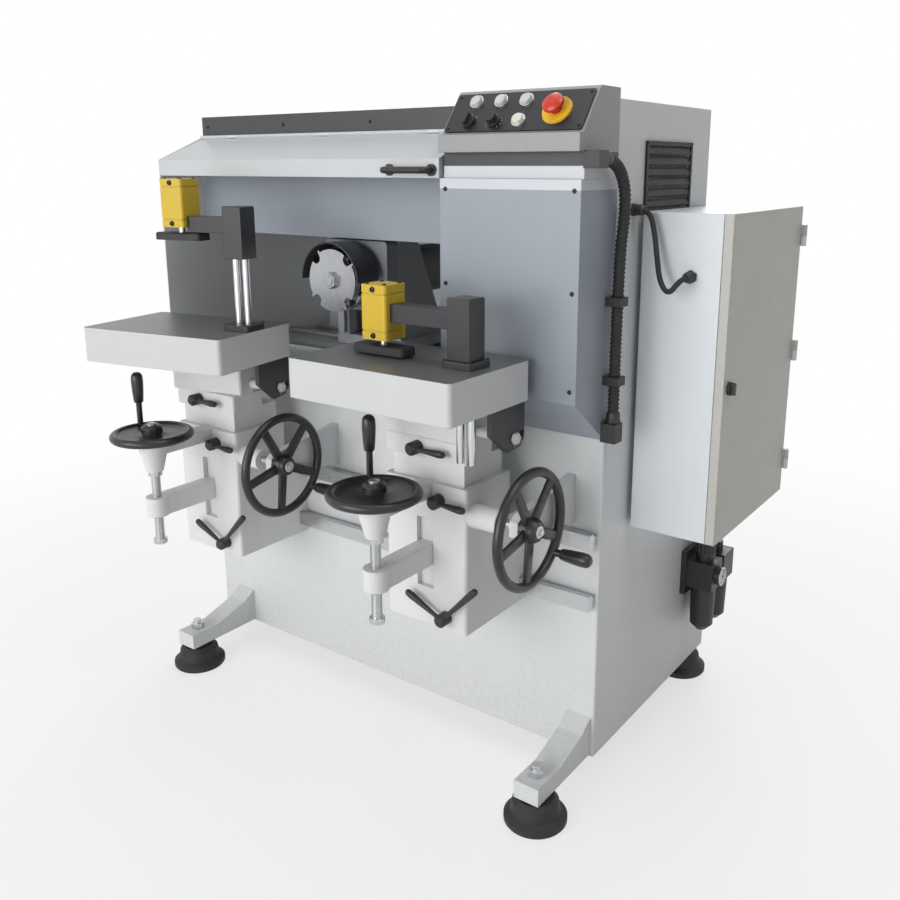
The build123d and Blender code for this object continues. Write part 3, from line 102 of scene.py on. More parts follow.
def on_console(x, s):
    """A point of the console's face, x to the right and s up the slope."""
    return selector_place + right * x + face_up * s


# Node trees
def connect(tree, socket, value):
    """Links a socket, or sets it where the value is a plain number, place or colour."""
    if isinstance(value, (int, float)):
        socket.default_value = value
    elif isinstance(value, (tuple, Vector)):
        socket.default_value = (*value, 1) if socket.type == "RGBA" else tuple(value)
    else:
        tree.links.new(value, socket)


def calc(tree, operation, *values, clamp=False):
    node = tree.nodes.new("ShaderNodeMath")
    node.operation = operation
    node.use_clamp = clamp
    for socket, value in zip(node.inputs, values):
        connect(tree, socket, value)
    return node.outputs[0]


def vector_calc(tree, operation, *values, output=0):
    node = tree.nodes.new("ShaderNodeVectorMath")
    node.operation = operation
    for socket, value in zip(node.inputs, values):
        connect(tree, socket, value)
    return node.outputs[output]


def scaled(tree, vector, factor):
    made = vector_calc(tree, "SCALE", vector)
    tree.links.new(factor, made.node.inputs["Scale"])
    return made


def blend_colour(tree, factor, first, second):
    node = tree.nodes.new("ShaderNodeMix")
    node.data_type = "RGBA"
    for socket, value in zip((node.inputs[0], *node.inputs[6:8]), (factor, first, second)):
        connect(tree, socket, value)
    return node.outputs[2]


def blend_value(tree, factor, first, second):
    node = tree.nodes.new("ShaderNodeMix")
    for socket, value in zip((node.inputs[0], *node.inputs[2:4]), (factor, first, second)):
        connect(tree, socket, value)
    return node.outputs[0]


def noise(tree, place, scale, detail=2.0, roughness=0.5):
    node = tree.nodes.new("ShaderNodeTexNoise")
    tree.links.new(place, node.inputs["Vector"])
    node.inputs["Scale"].default_value = scale
    node.inputs["Detail"].default_value = detail
    node.inputs["Roughness"].default_value = roughness
    return node.outputs["Fac"]


def remap(tree, value, low, high, to_low=0.0, to_high=1.0):
    node = tree.nodes.new("ShaderNodeMapRange")
    node.interpolation_type = "SMOOTHSTEP"
    limits = {"Value": value, "From Min": low, "From Max": high, "To Min": to_low, "To Max": to_high}
    for name, number in limits.items():
        connect(tree, node.inputs[name], number)
    return node.outputs["Result"]


def effect(name, takes, gives):
    """A shader node group with its named inputs and outputs."""
    kinds = {"v": "NodeSocketVector", "f": "NodeSocketFloat"}
    tree = bpy.data.node_groups.new(name, "ShaderNodeTree")
    for label, kind in takes.items():
        tree.interface.new_socket(name=label, in_out="INPUT", socket_type=kinds[kind])
    for label, kind in gives.items():
        tree.interface.new_socket(name=label, in_out="OUTPUT", socket_type=kinds[kind])
    return tree, tree.nodes.new("NodeGroupInput").outputs, tree.nodes.new("NodeGroupOutput").inputs


def use(tree, group, **values):
    node = tree.nodes.new("ShaderNodeGroup")
    node.node_tree = group
    for label, value in values.items():
        connect(tree, node.inputs[label], value)
    return node.outputs


# Effects that the finishes share
def make_paint_coat():
    """Slow tone drift, faint upright streaks and the fine peel of sprayed paint."""
    tree, takes, gives = effect(
        "paint_coat", {"Place": "v", "Mottle": "f"}, {"Tone": "f", "Gloss": "f", "Peel": "f"}
    )
    drift = noise(tree, takes["Place"], scale=3.2, detail=3.0)
    streak_place = vector_calc(tree, "MULTIPLY", takes["Place"], (34.0, 34.0, 2.2))
    streak = noise(tree, streak_place, scale=1.0, detail=3.0, roughness=0.6)
    both = calc(tree, "ADD", calc(tree, "MULTIPLY", drift, 0.65), calc(tree, "MULTIPLY", streak, 0.35))
    swing = calc(tree, "MULTIPLY", calc(tree, "SUBTRACT", both, 0.5), takes["Mottle"])
    patches = noise(tree, takes["Place"], scale=26.0, detail=4.0)
    tree.links.new(calc(tree, "ADD", swing, 1.0), gives["Tone"])
    tree.links.new(calc(tree, "SUBTRACT", patches, 0.5), gives["Gloss"])
    tree.links.new(noise(tree, takes["Place"], scale=620.0, detail=1.0), gives["Peel"])
    return tree


def make_rubbed_edges():
    """A softened edge, and a mask of its wear, which comes and goes along it."""
    tree, takes, gives = effect(
        "rubbed_edges", {"Place": "v", "Width": "f"}, {"Mask": "f", "Normal": "v"}
    )
    bevel = tree.nodes.new("ShaderNodeBevel")
    bevel.samples = 6
    tree.links.new(takes["Width"], bevel.inputs["Radius"])
    flat = tree.nodes.new("ShaderNodeNewGeometry").outputs["True Normal"]
    turn = vector_calc(tree, "DOT_PRODUCT", bevel.outputs[0], flat, output=1)
    edge = remap(tree, calc(tree, "SUBTRACT", 1.0, turn), 0.03, 0.22)
    broken = noise(tree, takes["Place"], scale=42.0, detail=5.0, roughness=0.65)
    tree.links.new(calc(tree, "MULTIPLY", edge, remap(tree, broken, 0.46, 0.68)), gives["Mask"])
    tree.links.new(bevel.outputs[0], gives["Normal"])
    return tree


def make_floor_dust():
    """Pale dust that gathers low down."""
    tree, takes, gives = effect("floor_dust", {"Place": "v", "Reach": "f"}, {"Mask": "f"})
    split = tree.nodes.new("ShaderNodeSeparateXYZ")
    tree.links.new(takes["Place"], split.inputs[0])
    height = calc(tree, "DIVIDE", split.outputs["Z"], takes["Reach"])
    low = calc(tree, "SUBTRACT", 1.0, height, clamp=True)
    specks = noise(tree, takes["Place"], scale=75.0, detail=5.0, roughness=0.7)
    tree.links.new(calc(tree, "MULTIPLY", low, remap(tree, specks, 0.42, 0.72)), gives["Mask"])
    return tree


def make_box_zone():
    """One inside a box of the object's own space, nought outside it."""
    tree, takes, gives = effect("box_zone", {"Place": "v", "Low": "v", "High": "v"}, {"Mask": "f"})
    above = tree.nodes.new("ShaderNodeSeparateXYZ")
    below = tree.nodes.new("ShaderNodeSeparateXYZ")
    tree.links.new(vector_calc(tree, "SUBTRACT", takes["Place"], takes["Low"]), above.inputs[0])
    tree.links.new(vector_calc(tree, "SUBTRACT", takes["High"], takes["Place"]), below.inputs[0])
    mask = 1.0
    for socket in (*above.outputs, *below.outputs):
        mask = calc(tree, "MULTIPLY", mask, calc(tree, "GREATER_THAN", socket, 0.0))
    tree.links.new(mask, gives["Mask"])
    return tree


def make_disc_zone():
    """One within a radius of an axis and past a height along it, nought elsewhere."""
    tree, takes, gives = effect(
        "disc_zone", {"Place": "v", "Centre": "v", "Axis": "v", "Radius": "f", "Above": "f"}, {"Mask": "f"}
    )
    offset = vector_calc(tree, "SUBTRACT", takes["Place"], takes["Centre"])
    along = vector_calc(tree, "PROJECT", offset, takes["Axis"])
    reach = vector_calc(tree, "LENGTH", vector_calc(tree, "SUBTRACT", offset, along), output=1)
    height = vector_calc(tree, "DOT_PRODUCT", offset, takes["Axis"], output=1)
    near = calc(tree, "LESS_THAN", reach, takes["Radius"])
    past = calc(tree, "GREATER_THAN", height, takes["Above"])
    tree.links.new(calc(tree, "MULTIPLY", near, past), gives["Mask"])
    return tree


def make_fine_grain():
    """The small random relief of moulded plastic, rubber and castings."""
    tree, takes, gives = effect(
        "fine_grain", {"Place": "v", "Scale": "f"}, {"Height": "f", "Gloss": "f"}
    )
    sized = scaled(tree, takes["Place"], takes["Scale"])
    patches = noise(tree, takes["Place"], scale=38.0, detail=4.0)
    tree.links.new(noise(tree, sized, scale=1.0, detail=3.0, roughness=0.6), gives["Height"])
    tree.links.new(calc(tree, "SUBTRACT", patches, 0.5), gives["Gloss"])
    return tree


def make_grinding():
    """Fine parallel marks of ground or turned steel, and slow stains."""
    tree, takes, gives = effect(
        "grinding", {"Place": "v", "Stretch": "v"}, {"Lines": "f", "Stain": "f"}
    )
    drawn = vector_calc(tree, "MULTIPLY", takes["Place"], takes["Stretch"])
    tree.links.new(noise(tree, drawn, scale=1.0, detail=4.0, roughness=0.7), gives["Lines"])
    tree.links.new(noise(tree, takes["Place"], scale=14.0, detail=4.0, roughness=0.6), gives["Stain"])
    return tree


paint_coat = make_paint_coat()
rubbed_edges = make_rubbed_edges()
floor_dust = make_floor_dust()
box_zone = make_box_zone()
disc_zone = make_disc_zone()
fine_grain = make_fine_grain()
grinding = make_grinding()


# Kinds of finish
class Finish:
    """A material under construction: its object coordinates and its Principled shader."""

    def __init__(self, name):
        self.material = bpy.data.materials.new(name)
        self.material.use_nodes = True
        self.tree = self.material.node_tree
        self.shader = self.tree.nodes["Principled BSDF"]
        self.place = self.tree.nodes.new("ShaderNodeTexCoord").outputs["Object"]

    def feed(self, socket, value):
        connect(self.tree, self.shader.inputs[socket], value)

    def relief(self, height, strength, depth, normal):
        bump = self.tree.nodes.new("ShaderNodeBump")
        bump.inputs["Strength"].default_value = strength
        bump.inputs["Distance"].default_value = depth
        self.tree.links.new(height, bump.inputs["Height"])
        self.tree.links.new(normal, bump.inputs["Normal"])
        self.feed("Normal", bump.outputs[0])

    def mask(self, zone):
        if "low" in zone:
            limits = {"Low": zone["low"], "High": zone["high"]}
            return use(self.tree, box_zone, Place=self.place, **limits)["Mask"]
        limits = {"Centre": zone["centre"], "Axis": zone["axis"], "Radius": zone["radius"]}
        return use(self.tree, disc_zone, Place=self.place, Above=zone.get("above", -far), **limits)["Mask"]

    def cover(self, colour, rough, metal, zones=()):
        """Feeds the finish, with other finishes and bands of painted highlight and shade inside boxes or
        discs of the piece.
        """
        for zone in zones:
            mask = self.mask(zone)
            colour = blend_colour(self.tree, mask, colour, zone["colour"])
            rough = blend_value(self.tree, mask, rough, zone["rough"])
            metal = blend_value(self.tree, mask, metal, zone.get("metal", 0.0))
        self.feed("Base Color", colour)
        self.feed("Roughness", rough)
        self.feed("Metallic", metal)


def painted(
    name, colour, rough=0.4, mottle=0.1, peel=0.12, wear=0.35, bare=(0.33, 0.335, 0.34), dust=0.0, zones=()
):
    """Sprayed machine paint with peel, rubbed edges and, low down, dust."""
    made = Finish(name)
    tree = made.tree
    coat = use(tree, paint_coat, Place=made.place, Mottle=mottle)
    edge = use(tree, rubbed_edges, Place=made.place, Width=0.0022)
    tone = scaled(tree, colour, coat["Tone"])
    shade = blend_colour(tree, calc(tree, "MULTIPLY", edge["Mask"], wear), tone, bare)
    if dust:
        low = use(tree, floor_dust, Place=made.place, Reach=dust)["Mask"]
        shade = blend_colour(tree, calc(tree, "MULTIPLY", low, 0.3), shade, (0.42, 0.38, 0.31))
    gloss = calc(tree, "ADD", calc(tree, "MULTIPLY", coat["Gloss"], 0.22), rough)
    made.cover(shade, gloss, 0.0, zones)
    made.relief(coat["Peel"], peel, 0.0006, edge["Normal"])
    return made.material


def darker(colour):
    return tuple(c * 0.72 for c in colour)


def moulded(
    name, colour, rough=0.45, scale=900.0, grain=0.2, wear=0.25, bare=(0.12, 0.12, 0.125), metal=0.0,
    zones=(),
):
    """Moulded plastic, rubber or a rough casting: a fine grain and lightly rubbed edges."""
    made = Finish(name)
    tree = made.tree
    skin = use(tree, fine_grain, Place=made.place, Scale=scale)
    edge = use(tree, rubbed_edges, Place=made.place, Width=0.0016)
    shade = blend_colour(tree, calc(tree, "MULTIPLY", skin["Height"], 0.35), colour, darker(colour))
    shade = blend_colour(tree, calc(tree, "MULTIPLY", edge["Mask"], wear), shade, bare)
    gloss = calc(tree, "ADD", calc(tree, "MULTIPLY", skin["Gloss"], 0.25), rough)
    made.cover(shade, gloss, metal, zones)
    made.relief(skin["Height"], grain, 0.0005, edge["Normal"])
    return made.material


def steel(name, colour=(0.56, 0.57, 0.58), rough=0.3, stretch=(9.0, 900.0, 900.0)):
    """Bare ground or turned steel."""
    made = Finish(name)
    tree = made.tree
    cut = use(tree, grinding, Place=made.place, Stretch=stretch)
    edge = use(tree, rubbed_edges, Place=made.place, Width=0.001)
    shade = blend_colour(tree, calc(tree, "MULTIPLY", cut["Lines"], 0.5), colour, darker(colour))
    stain = remap(tree, cut["Stain"], 0.5, 0.85, 0.0, 0.35)
    shade = blend_colour(tree, stain, shade, (0.30, 0.28, 0.25))
    swing = calc(tree, "MULTIPLY", calc(tree, "SUBTRACT", cut["Lines"], 0.5), 0.3)
    made.cover(shade, calc(tree, "ADD", swing, rough), 1.0)
    made.relief(cut["Lines"], 0.12, 0.0003, edge["Normal"])
    return made.material


# Zones of a piece that have a finish of their own, and bands of painted highlight and shade
far = 9.0
margin = 0.0005


def within(**limits):
    """A box zone without bounds except the ones given, such as x_low or z_high."""
    low = tuple(limits.get(f"{axis}_low", -far) for axis in "xyz")
    high = tuple(limits.get(f"{axis}_high", far) for axis in "xyz")
    return {"low": low, "high": high}


def device(x, s, radius, above=-far):
    """A disc zone about a console device, from a height above the face outwards."""
    return {"centre": on_console(x, s), "axis": face_out, "radius": radius, "above": above}


black = (0.018, 0.018, 0.02)
clamp_colour = (0.022, 0.022, 0.025)
grey_white = (0.66, 0.675, 0.685)
blue_grey = (0.30, 0.335, 0.38)
cast_bare = (0.5, 0.5, 0.5)
black_fitting = {"colour": black, "rough": 0.45}
# Painted shadow: near black for the shade in the gap under the console's overhanging body.
painted_shadow_band = {"colour": (0.035, 0.036, 0.04), "rough": 0.45}
# Painted highlight: a pale band for the light along the front cover's top edge and at the foot of the
# console.
painted_highlight_band = {"colour": (0.60, 0.625, 0.66), "rough": 0.36}
# Blue-grey of the housing's recessed front plate: partly the cover's two-tone paint, partly painted shade
# under the hood.
plate_paint_and_shade = {"colour": blue_grey, "rough": 0.38}
zinc_pipe = {"colour": (0.5, 0.51, 0.52), "rough": 0.34, "metal": 1.0}
bolt_steel = {"colour": (0.56, 0.57, 0.58), "rough": 0.34, "metal": 1.0}
polished = {"colour": (0.56, 0.57, 0.58), "rough": 0.22, "metal": 1.0}
lamp_glass = {"colour": (0.72, 0.70, 0.60), "rough": 0.15}
stop_yellow = {"colour": (0.80, 0.50, 0.02), "rough": 0.35}
planed_iron = {"colour": (0.2, 0.205, 0.205), "rough": 0.4, "metal": 0.6}
sector_black = {"colour": (0.02, 0.02, 0.022), "rough": 0.4}

elbow_low = 0.6
gland_x_low = 0.6
foot_pad_top = 0.0585
# Height of the painted highlight band along the front cover's top edge.
highlight_band_height = 0.020
console_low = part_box("console_body")[0].z
# Tops of the console's painted highlight band and, above it, its painted shadow band.
highlight_band_top = console_low + 0.024
shadow_band_top = console_low + 0.0498
front_plate = within(
    x_low=housing_low.x + sheet_metal + margin, x_high=wall_x - margin,
    y_low=front_plate_y - margin, y_high=front_plate_y + sheet_metal + margin,
)
beside_wall = {**within(x_low=wall_x + margin), **black_fitting}
cabinet_gland = within(x_low=gland_x_low, y_high=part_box("electric_cabinet")[0].y + gland_length - margin)

# Finishes
body_paint = painted("body_paint", grey_white, dust=0.35)
base_paint = painted(
    "base_paint", grey_white, dust=0.4,
    zones=[{**within(x_low=wall_x + margin, z_low=elbow_low), **black_fitting}],
)
# The recessed front plate is darkened partly as painted shade under the hood.
housing_paint = painted(
    "housing_paint", grey_white,
    zones=[
        {**front_plate, **plate_paint_and_shade},
        beside_wall,
        {**within(y_low=rear_sheet_y + margin), **zinc_pipe},
    ],
)
# The cover's top band is a painted highlight.
front_blue_grey = painted(
    "front_blue_grey", blue_grey, rough=0.36, mottle=0.16,
    zones=[{**within(z_low=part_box("front_cover")[1].z - highlight_band_height), **painted_highlight_band}, beside_wall],
)
hood_paint = painted("hood_paint", (0.58, 0.60, 0.615), rough=0.36)
# The console's foot: its lowest band is a painted highlight and the band above it a painted shadow under the
# overhang.
console_paint = painted(
    "console_paint", (0.31, 0.315, 0.32),
    zones=[
        {**within(z_high=shadow_band_top), **painted_shadow_band},
        {**within(z_high=highlight_band_top), **painted_highlight_band},
        beside_wall,
    ],
)
strip_paint = painted("strip_paint", (0.045, 0.046, 0.05), rough=0.42, bare=(0.2, 0.2, 0.2))
dark_paint = painted("dark_paint", (0.05, 0.052, 0.056), rough=0.45, bare=(0.25, 0.25, 0.25))
clamp_black = painted("clamp_black", clamp_colour, rough=0.35, bare=(0.25, 0.25, 0.26), wear=0.5)
cabinet_paint = painted("cabinet_paint", (0.70, 0.735, 0.765), zones=[{**cabinet_gland, **black_fitting}])
# The door is darker than the cabinet: its beige-grey is partly its own paint and partly painted shade of the
# side face it is on.
door_paint_and_shade = painted("door_paint_and_shade", (0.50, 0.49, 0.455), rough=0.45, mottle=0.14)
knee_paint = painted("knee_paint", (0.70, 0.705, 0.70), rough=0.42, mottle=0.12, peel=0.3)
carriage_paint = moulded(
    "carriage_paint", (0.30, 0.31, 0.33), rough=0.5, scale=420.0, grain=0.3, bare=cast_bare
)
head_paint = moulded("head_paint", (0.23, 0.24, 0.26), rough=0.5, scale=420.0, grain=0.3, bare=cast_bare)
black_plastic = moulded("black_plastic", black)
vent_black = moulded("vent_black", (0.007, 0.007, 0.008), rough=0.6)
black_rubber = moulded("black_rubber", (0.014, 0.014, 0.014), rough=0.7, scale=700.0, grain=0.3)
grip_black = moulded(
    "grip_black", (0.016, 0.016, 0.018), rough=0.32, scale=700.0, grain=0.08, bare=(0.1, 0.1, 0.1)
)
screw_black = moulded("screw_black", (0.03, 0.03, 0.032), rough=0.35, grain=0.1, metal=0.6)
mark_white = moulded("mark_white", (0.72, 0.72, 0.70), rough=0.5, scale=500.0, grain=0.05)
gear_grey = moulded("gear_grey", (0.36, 0.37, 0.38), rough=0.5)
gear_pale = moulded("gear_pale", (0.58, 0.57, 0.53))
gear_dark = moulded("gear_dark", (0.045, 0.048, 0.052))
bright_steel = steel("bright_steel")
turned_steel = steel("turned_steel", rough=0.28, stretch=(700.0, 700.0, 30.0))
blade_steel = steel("blade_steel", colour=(0.5, 0.51, 0.53), rough=0.26, stretch=(60.0, 900.0, 60.0))
button_cap = moulded("button_cap", (0.62, 0.64, 0.62), rough=0.25, scale=300.0, grain=0.04)
stop_red = moulded(
    "stop_red", (0.62, 0.035, 0.012), rough=0.26, scale=300.0, grain=0.04, bare=(0.7, 0.2, 0.12)
)
feet_rubber = moulded(
    "feet_rubber", (0.016, 0.016, 0.016), rough=0.65, scale=500.0, grain=0.3,
    zones=[{**within(z_low=foot_pad_top), **bolt_steel}],
)
bezel_radius, bezel_foot = 0.0155, 0.0042
lens_radius, lens_foot = 0.0112, 0.0082
lamp_x = device_columns[2]
panel_black = moulded(
    "panel_black", (0.016, 0.017, 0.019), rough=0.38, scale=800.0, grain=0.1,
    zones=[
        {**device(stop_x, stop_row, 0.031), **stop_yellow},
        *[{**device(x, upper_row, bezel_radius, bezel_foot), **polished} for x in device_columns],
        {**device(lamp_x, 0.0, bezel_radius, bezel_foot), **polished},
        {**device(lamp_x, 0.0, lens_radius, lens_foot), **lamp_glass},
    ],
)


def dress(material, *names):
    for name in names:
        slots = nodes[name].data.materials
        slots.clear()
        slots.append(material)


dress(base_paint, "base_frame")
dress(body_paint, "rear_panel")
dress(housing_paint, "rear_housing")
dress(front_blue_grey, "front_cover")
dress(hood_paint, "top_hood")
dress(strip_paint, "top_strip")
dress(console_paint, "console_body")
dress(panel_black, "console_face")
dress(cabinet_paint, "electric_cabinet")
dress(door_paint_and_shade, "cabinet_door")
dress(dark_paint, "cutter_guard", "drive_motor")
dress(carriage_paint, "carriage")
dress(head_paint, "spindle_head")
dress(feet_rubber, "leveling_feet")
dress(black_rubber, "conduit", "cabinet_cable")
dress(vent_black, "vent_grille")
dress(bright_steel, "guide_rails", "carriage_screw")
dress(blade_steel, "spindle_shaft", "cutter_set")
dress(stop_red, "emergency_stop")
dress(button_cap, "button_1", "button_2", "button_3")
dress(black_plastic, "hood_handle", "cabinet_lock", "air_unit")
dress(black_plastic, "selector_switch", "feed_dial", "regulator_knob")

arm_height = 0.116
foot_height = 0.0172
for side in table_sides:
    rods_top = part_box(f"clamp_arm_{side}")[1].z - arm_height
    foot_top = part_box(f"clamp_foot_{side}")[0].z + foot_height
    table_paint = painted(
        f"table_paint_{side}", (0.57, 0.58, 0.585), peel=0.25,
        zones=[
            {**within(z_low=table_top - margin), **planed_iron},
            {**within(z_high=table_top - skirt_height - margin), **sector_black},
        ],
    )
    arm_paint = painted(
        f"arm_paint_{side}", clamp_colour, rough=0.35, bare=(0.25, 0.25, 0.26),
        zones=[{**within(z_high=rods_top), **polished}],
    )
    foot_rubber = moulded(
        f"foot_rubber_{side}", (0.02, 0.02, 0.021), rough=0.6, zones=[{**within(z_low=foot_top), **polished}]
    )
    cylinder_coat = moulded(
        f"cylinder_coat_{side}", (0.66, 0.45, 0.018), rough=0.36, scale=500.0, grain=0.08, wear=0.5,
        bare=(0.55, 0.5, 0.35),
    )
    dress(knee_paint, f"saddle_{side}", f"knee_{side}", f"swivel_head_{side}")
    dress(table_paint, f"table_{side}")
    dress(turned_steel, f"lift_screw_{side}")
    dress(black_plastic, f"lift_wheel_{side}", f"cross_wheel_{side}")
    dress(black_plastic, f"swivel_lever_{side}", f"knee_lever_{side}", f"saddle_lever_{side}")
    dress(clamp_black, f"clamp_post_{side}")
    dress(arm_paint, f"clamp_arm_{side}")
    dress(foot_rubber, f"clamp_foot_{side}")
    dress(cylinder_coat, f"clamp_cylinder_{side}")


# Meshes
def finished(bm, name, material, body, angle=35.0):
    """Turns a bmesh into a piece that rides on a body."""
    mesh = bpy.data.meshes.new(name)
    bm.to_mesh(mesh)
    bm.free()
    mesh.materials.append(material)
    mesh.shade_smooth()
    mesh.set_sharp_from_angle(angle=radians(angle))
    made = bpy.data.objects.new(name, mesh)
    scene.collection.objects.link(made)
    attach(made, body)
    return made


def facing(axis):
    return up.rotation_difference(axis).to_matrix().to_4x4()


def edges_of(verts):
    return list({e for v in verts for e in v.link_edges})


def round_edges(bm, verts, width, segments):
    return bmesh.ops.bevel(
        bm, geom=edges_of(verts), offset=width, segments=segments, profile=0.5, affect="EDGES", material=-1
    )


def slab(bm, low, high, rounding=0.0, segments=2):
    low, high = Vector(low), Vector(high)
    size = Matrix.Diagonal((*(high - low), 1))
    made = bmesh.ops.create_cube(bm, size=1.0, matrix=Matrix.Translation((low + high) / 2) @ size)
    if rounding:
        round_edges(bm, made["verts"], rounding, segments)


def stub(bm, start, axis, radius, length, segments=24):
    """A round bar from a point along an axis."""
    place = Matrix.Translation(Vector(start) + axis * length / 2) @ facing(axis)
    return bmesh.ops.create_cone(
        bm, cap_ends=True, segments=segments, radius1=radius, radius2=radius, depth=length, matrix=place
    )["verts"]


def whole_turn(bm, verts, edges, centre, axis, steps):
    """Spins a line or a loop right round an axis and closes it on itself."""
    bmesh.ops.spin(
        bm, geom=verts + edges, cent=centre, axis=axis, dvec=(0, 0, 0), angle=2 * pi, steps=steps,
        use_merge=True,
    )
    bmesh.ops.remove_doubles(bm, verts=bm.verts, dist=1e-6)
    bmesh.ops.recalc_face_normals(bm, faces=bm.faces)


def spun(bm, profile, centre, axis, steps=48):
    """A turned body: the profile lists radius and distance along the axis."""
    across = axis.orthogonal().normalized()
    verts = [bm.verts.new(centre + across * r + axis * a) for r, a in profile]
    edges = [bm.edges.new(pair) for pair in zip(verts, verts[1:])]
    whole_turn(bm, verts, edges, centre, axis, steps)


def ring(bm, centre, axis, radius, thickness):
    """A round-section ring about an axis."""
    across = axis.orthogonal().normalized()
    place = Matrix.Translation(centre + across * radius) @ facing(across.cross(axis))
    verts = bmesh.ops.create_circle(bm, segments=18, radius=thickness, matrix=place)["verts"]
    whole_turn(bm, verts, edges_of(verts), centre, axis, 72)


def screw_heads(name, places, axis, radius, body):
    """Button-head screws with a socket, all on one face."""
    bm = bmesh.new()
    for place in places:
        spot = Matrix.Translation(place + axis * radius * 0.3) @ facing(axis)
        made = bmesh.ops.create_cone(
            bm, cap_ends=True, segments=12, radius1=radius, radius2=radius * 0.72, depth=radius * 0.6,
            matrix=spot,
        )
        faces = {f for v in made["verts"] for f in v.link_faces}
        top = max(faces, key=lambda f: f.calc_center_median().dot(axis))
        bmesh.ops.inset_region(bm, faces=[top], thickness=radius * 0.3, depth=0.0)
        bmesh.ops.inset_region(bm, faces=[top], thickness=radius * 0.02, depth=-radius * 0.35)
    return finished(bm, name, screw_black, body)


# Handwheels and screws
def grip(bm, foot, axis, stem, shoulder, length, radius):
    """A turning handle: a plain stem, then a barrel that swells towards its end."""
    barrel = length - shoulder
    profile = [
        (0, 0), (stem, 0), (stem, shoulder), (radius * 0.72, shoulder + 0.001),
        (radius * 0.80, shoulder + 0.004), (radius * 0.92, shoulder + barrel * 0.35),
        (radius, shoulder + barrel * 0.68), (radius * 0.96, length - 0.010),
        (radius * 0.80, length - 0.004), (radius * 0.45, length), (0, length),
    ]
    spun(bm, profile, foot, axis, 28)


def washer(bm, centre, axis, radius, flat, height, edge, steps):
    """A washer or a screw head with its outer edge taken off above a flat."""
    profile = [(0, 0), (radius, 0), (radius, flat), (radius - edge, height), (0, height)]
    spun(bm, profile, centre, axis, steps)


def collar(bm, centre, axis, radius, length, edge):
    """A ring on a screw, both its edges taken off."""
    profile = [
        (0, 0), (radius - edge, 0), (radius, edge),
        (radius, length - edge), (radius - edge, length), (0, length),
    ]
    spun(bm, profile, centre, axis, 32)


def threaded(bm, start, axis, radius, length, pitch, depth):
    """A bar whose flanks repeat along it, closed at both ends."""
    core = radius - depth
    profile = [(0, 0), (core, 0)]
    for turn in range(int(length / pitch)):
        flank = ((core, 0.10), (radius, 0.30), (radius, 0.60), (core, 0.80))
        profile += [(r, (turn + share) * pitch) for r, share in flank]
    profile += [(core, length), (0, length)]
    spun(bm, profile, start, axis, 24)


lift_grip_foot = {"left": Vector((-0.080, 0.026, 0)), "right": Vector((-0.062, 0.058, 0))}


def make_lift_wheel(side):
    node = f"lift_wheel_{side}"
    centre = joint_place(f"{node}_turn")
    dish = [
        (0, -0.0154), (0.025, -0.0154), (0.027, -0.0140), (0.0245, -0.0040), (0.034, -0.0030),
        (0.066, -0.0022), (0.074, -0.0045), (0.083, -0.0045), (0.083, 0.0045), (0.074, 0.0045),
        (0.066, 0.0022), (0.034, 0.0030), (0.0245, 0.0055), (0.0235, 0.0180), (0.018, 0.0240), (0, 0.0240),
    ]
    bm = bmesh.new()
    ring(bm, centre, up, 0.085, 0.0099)
    spun(bm, dish, centre, up, 64)
    grip(bm, centre + lift_grip_foot[side], up, stem=0.0068, shoulder=0.060, length=0.1338, radius=0.0140)
    made = finished(bm, f"lift_handwheel_{side}", grip_black, node)
    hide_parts(node)
    bm = bmesh.new()
    washer(bm, centre + up * 0.0238, up, 0.0115, flat=0.003, height=0.0042, edge=0.002, steps=24)
    finished(bm, f"lift_wheel_washer_{side}", bright_steel, node)


def cross_wheel_spoke(bm, centre, angle):
    """A flat spoke that narrows towards the rim."""
    width, depth, length = 0.024, 0.010, 0.096
    middle_radius = 0.066
    rim_share = 0.84
    spoke = bmesh.ops.create_cube(bm, size=1.0)["verts"]
    bmesh.ops.scale(bm, vec=(depth, width, length), verts=spoke)
    bmesh.ops.translate(bm, vec=up * middle_radius, verts=spoke)
    for v in spoke:
        if v.co.z > middle_radius:
            v.co.y *= rim_share
    rounded = round_edges(bm, spoke, 0.0038, 3)
    shape = list({v for f in rounded["faces"] for v in f.verts} | {v for v in spoke if v.is_valid})
    bmesh.ops.rotate(bm, cent=(0, 0, 0), matrix=Matrix.Rotation(angle, 3, "X"), verts=shape)
    bmesh.ops.translate(bm, vec=centre, verts=shape)


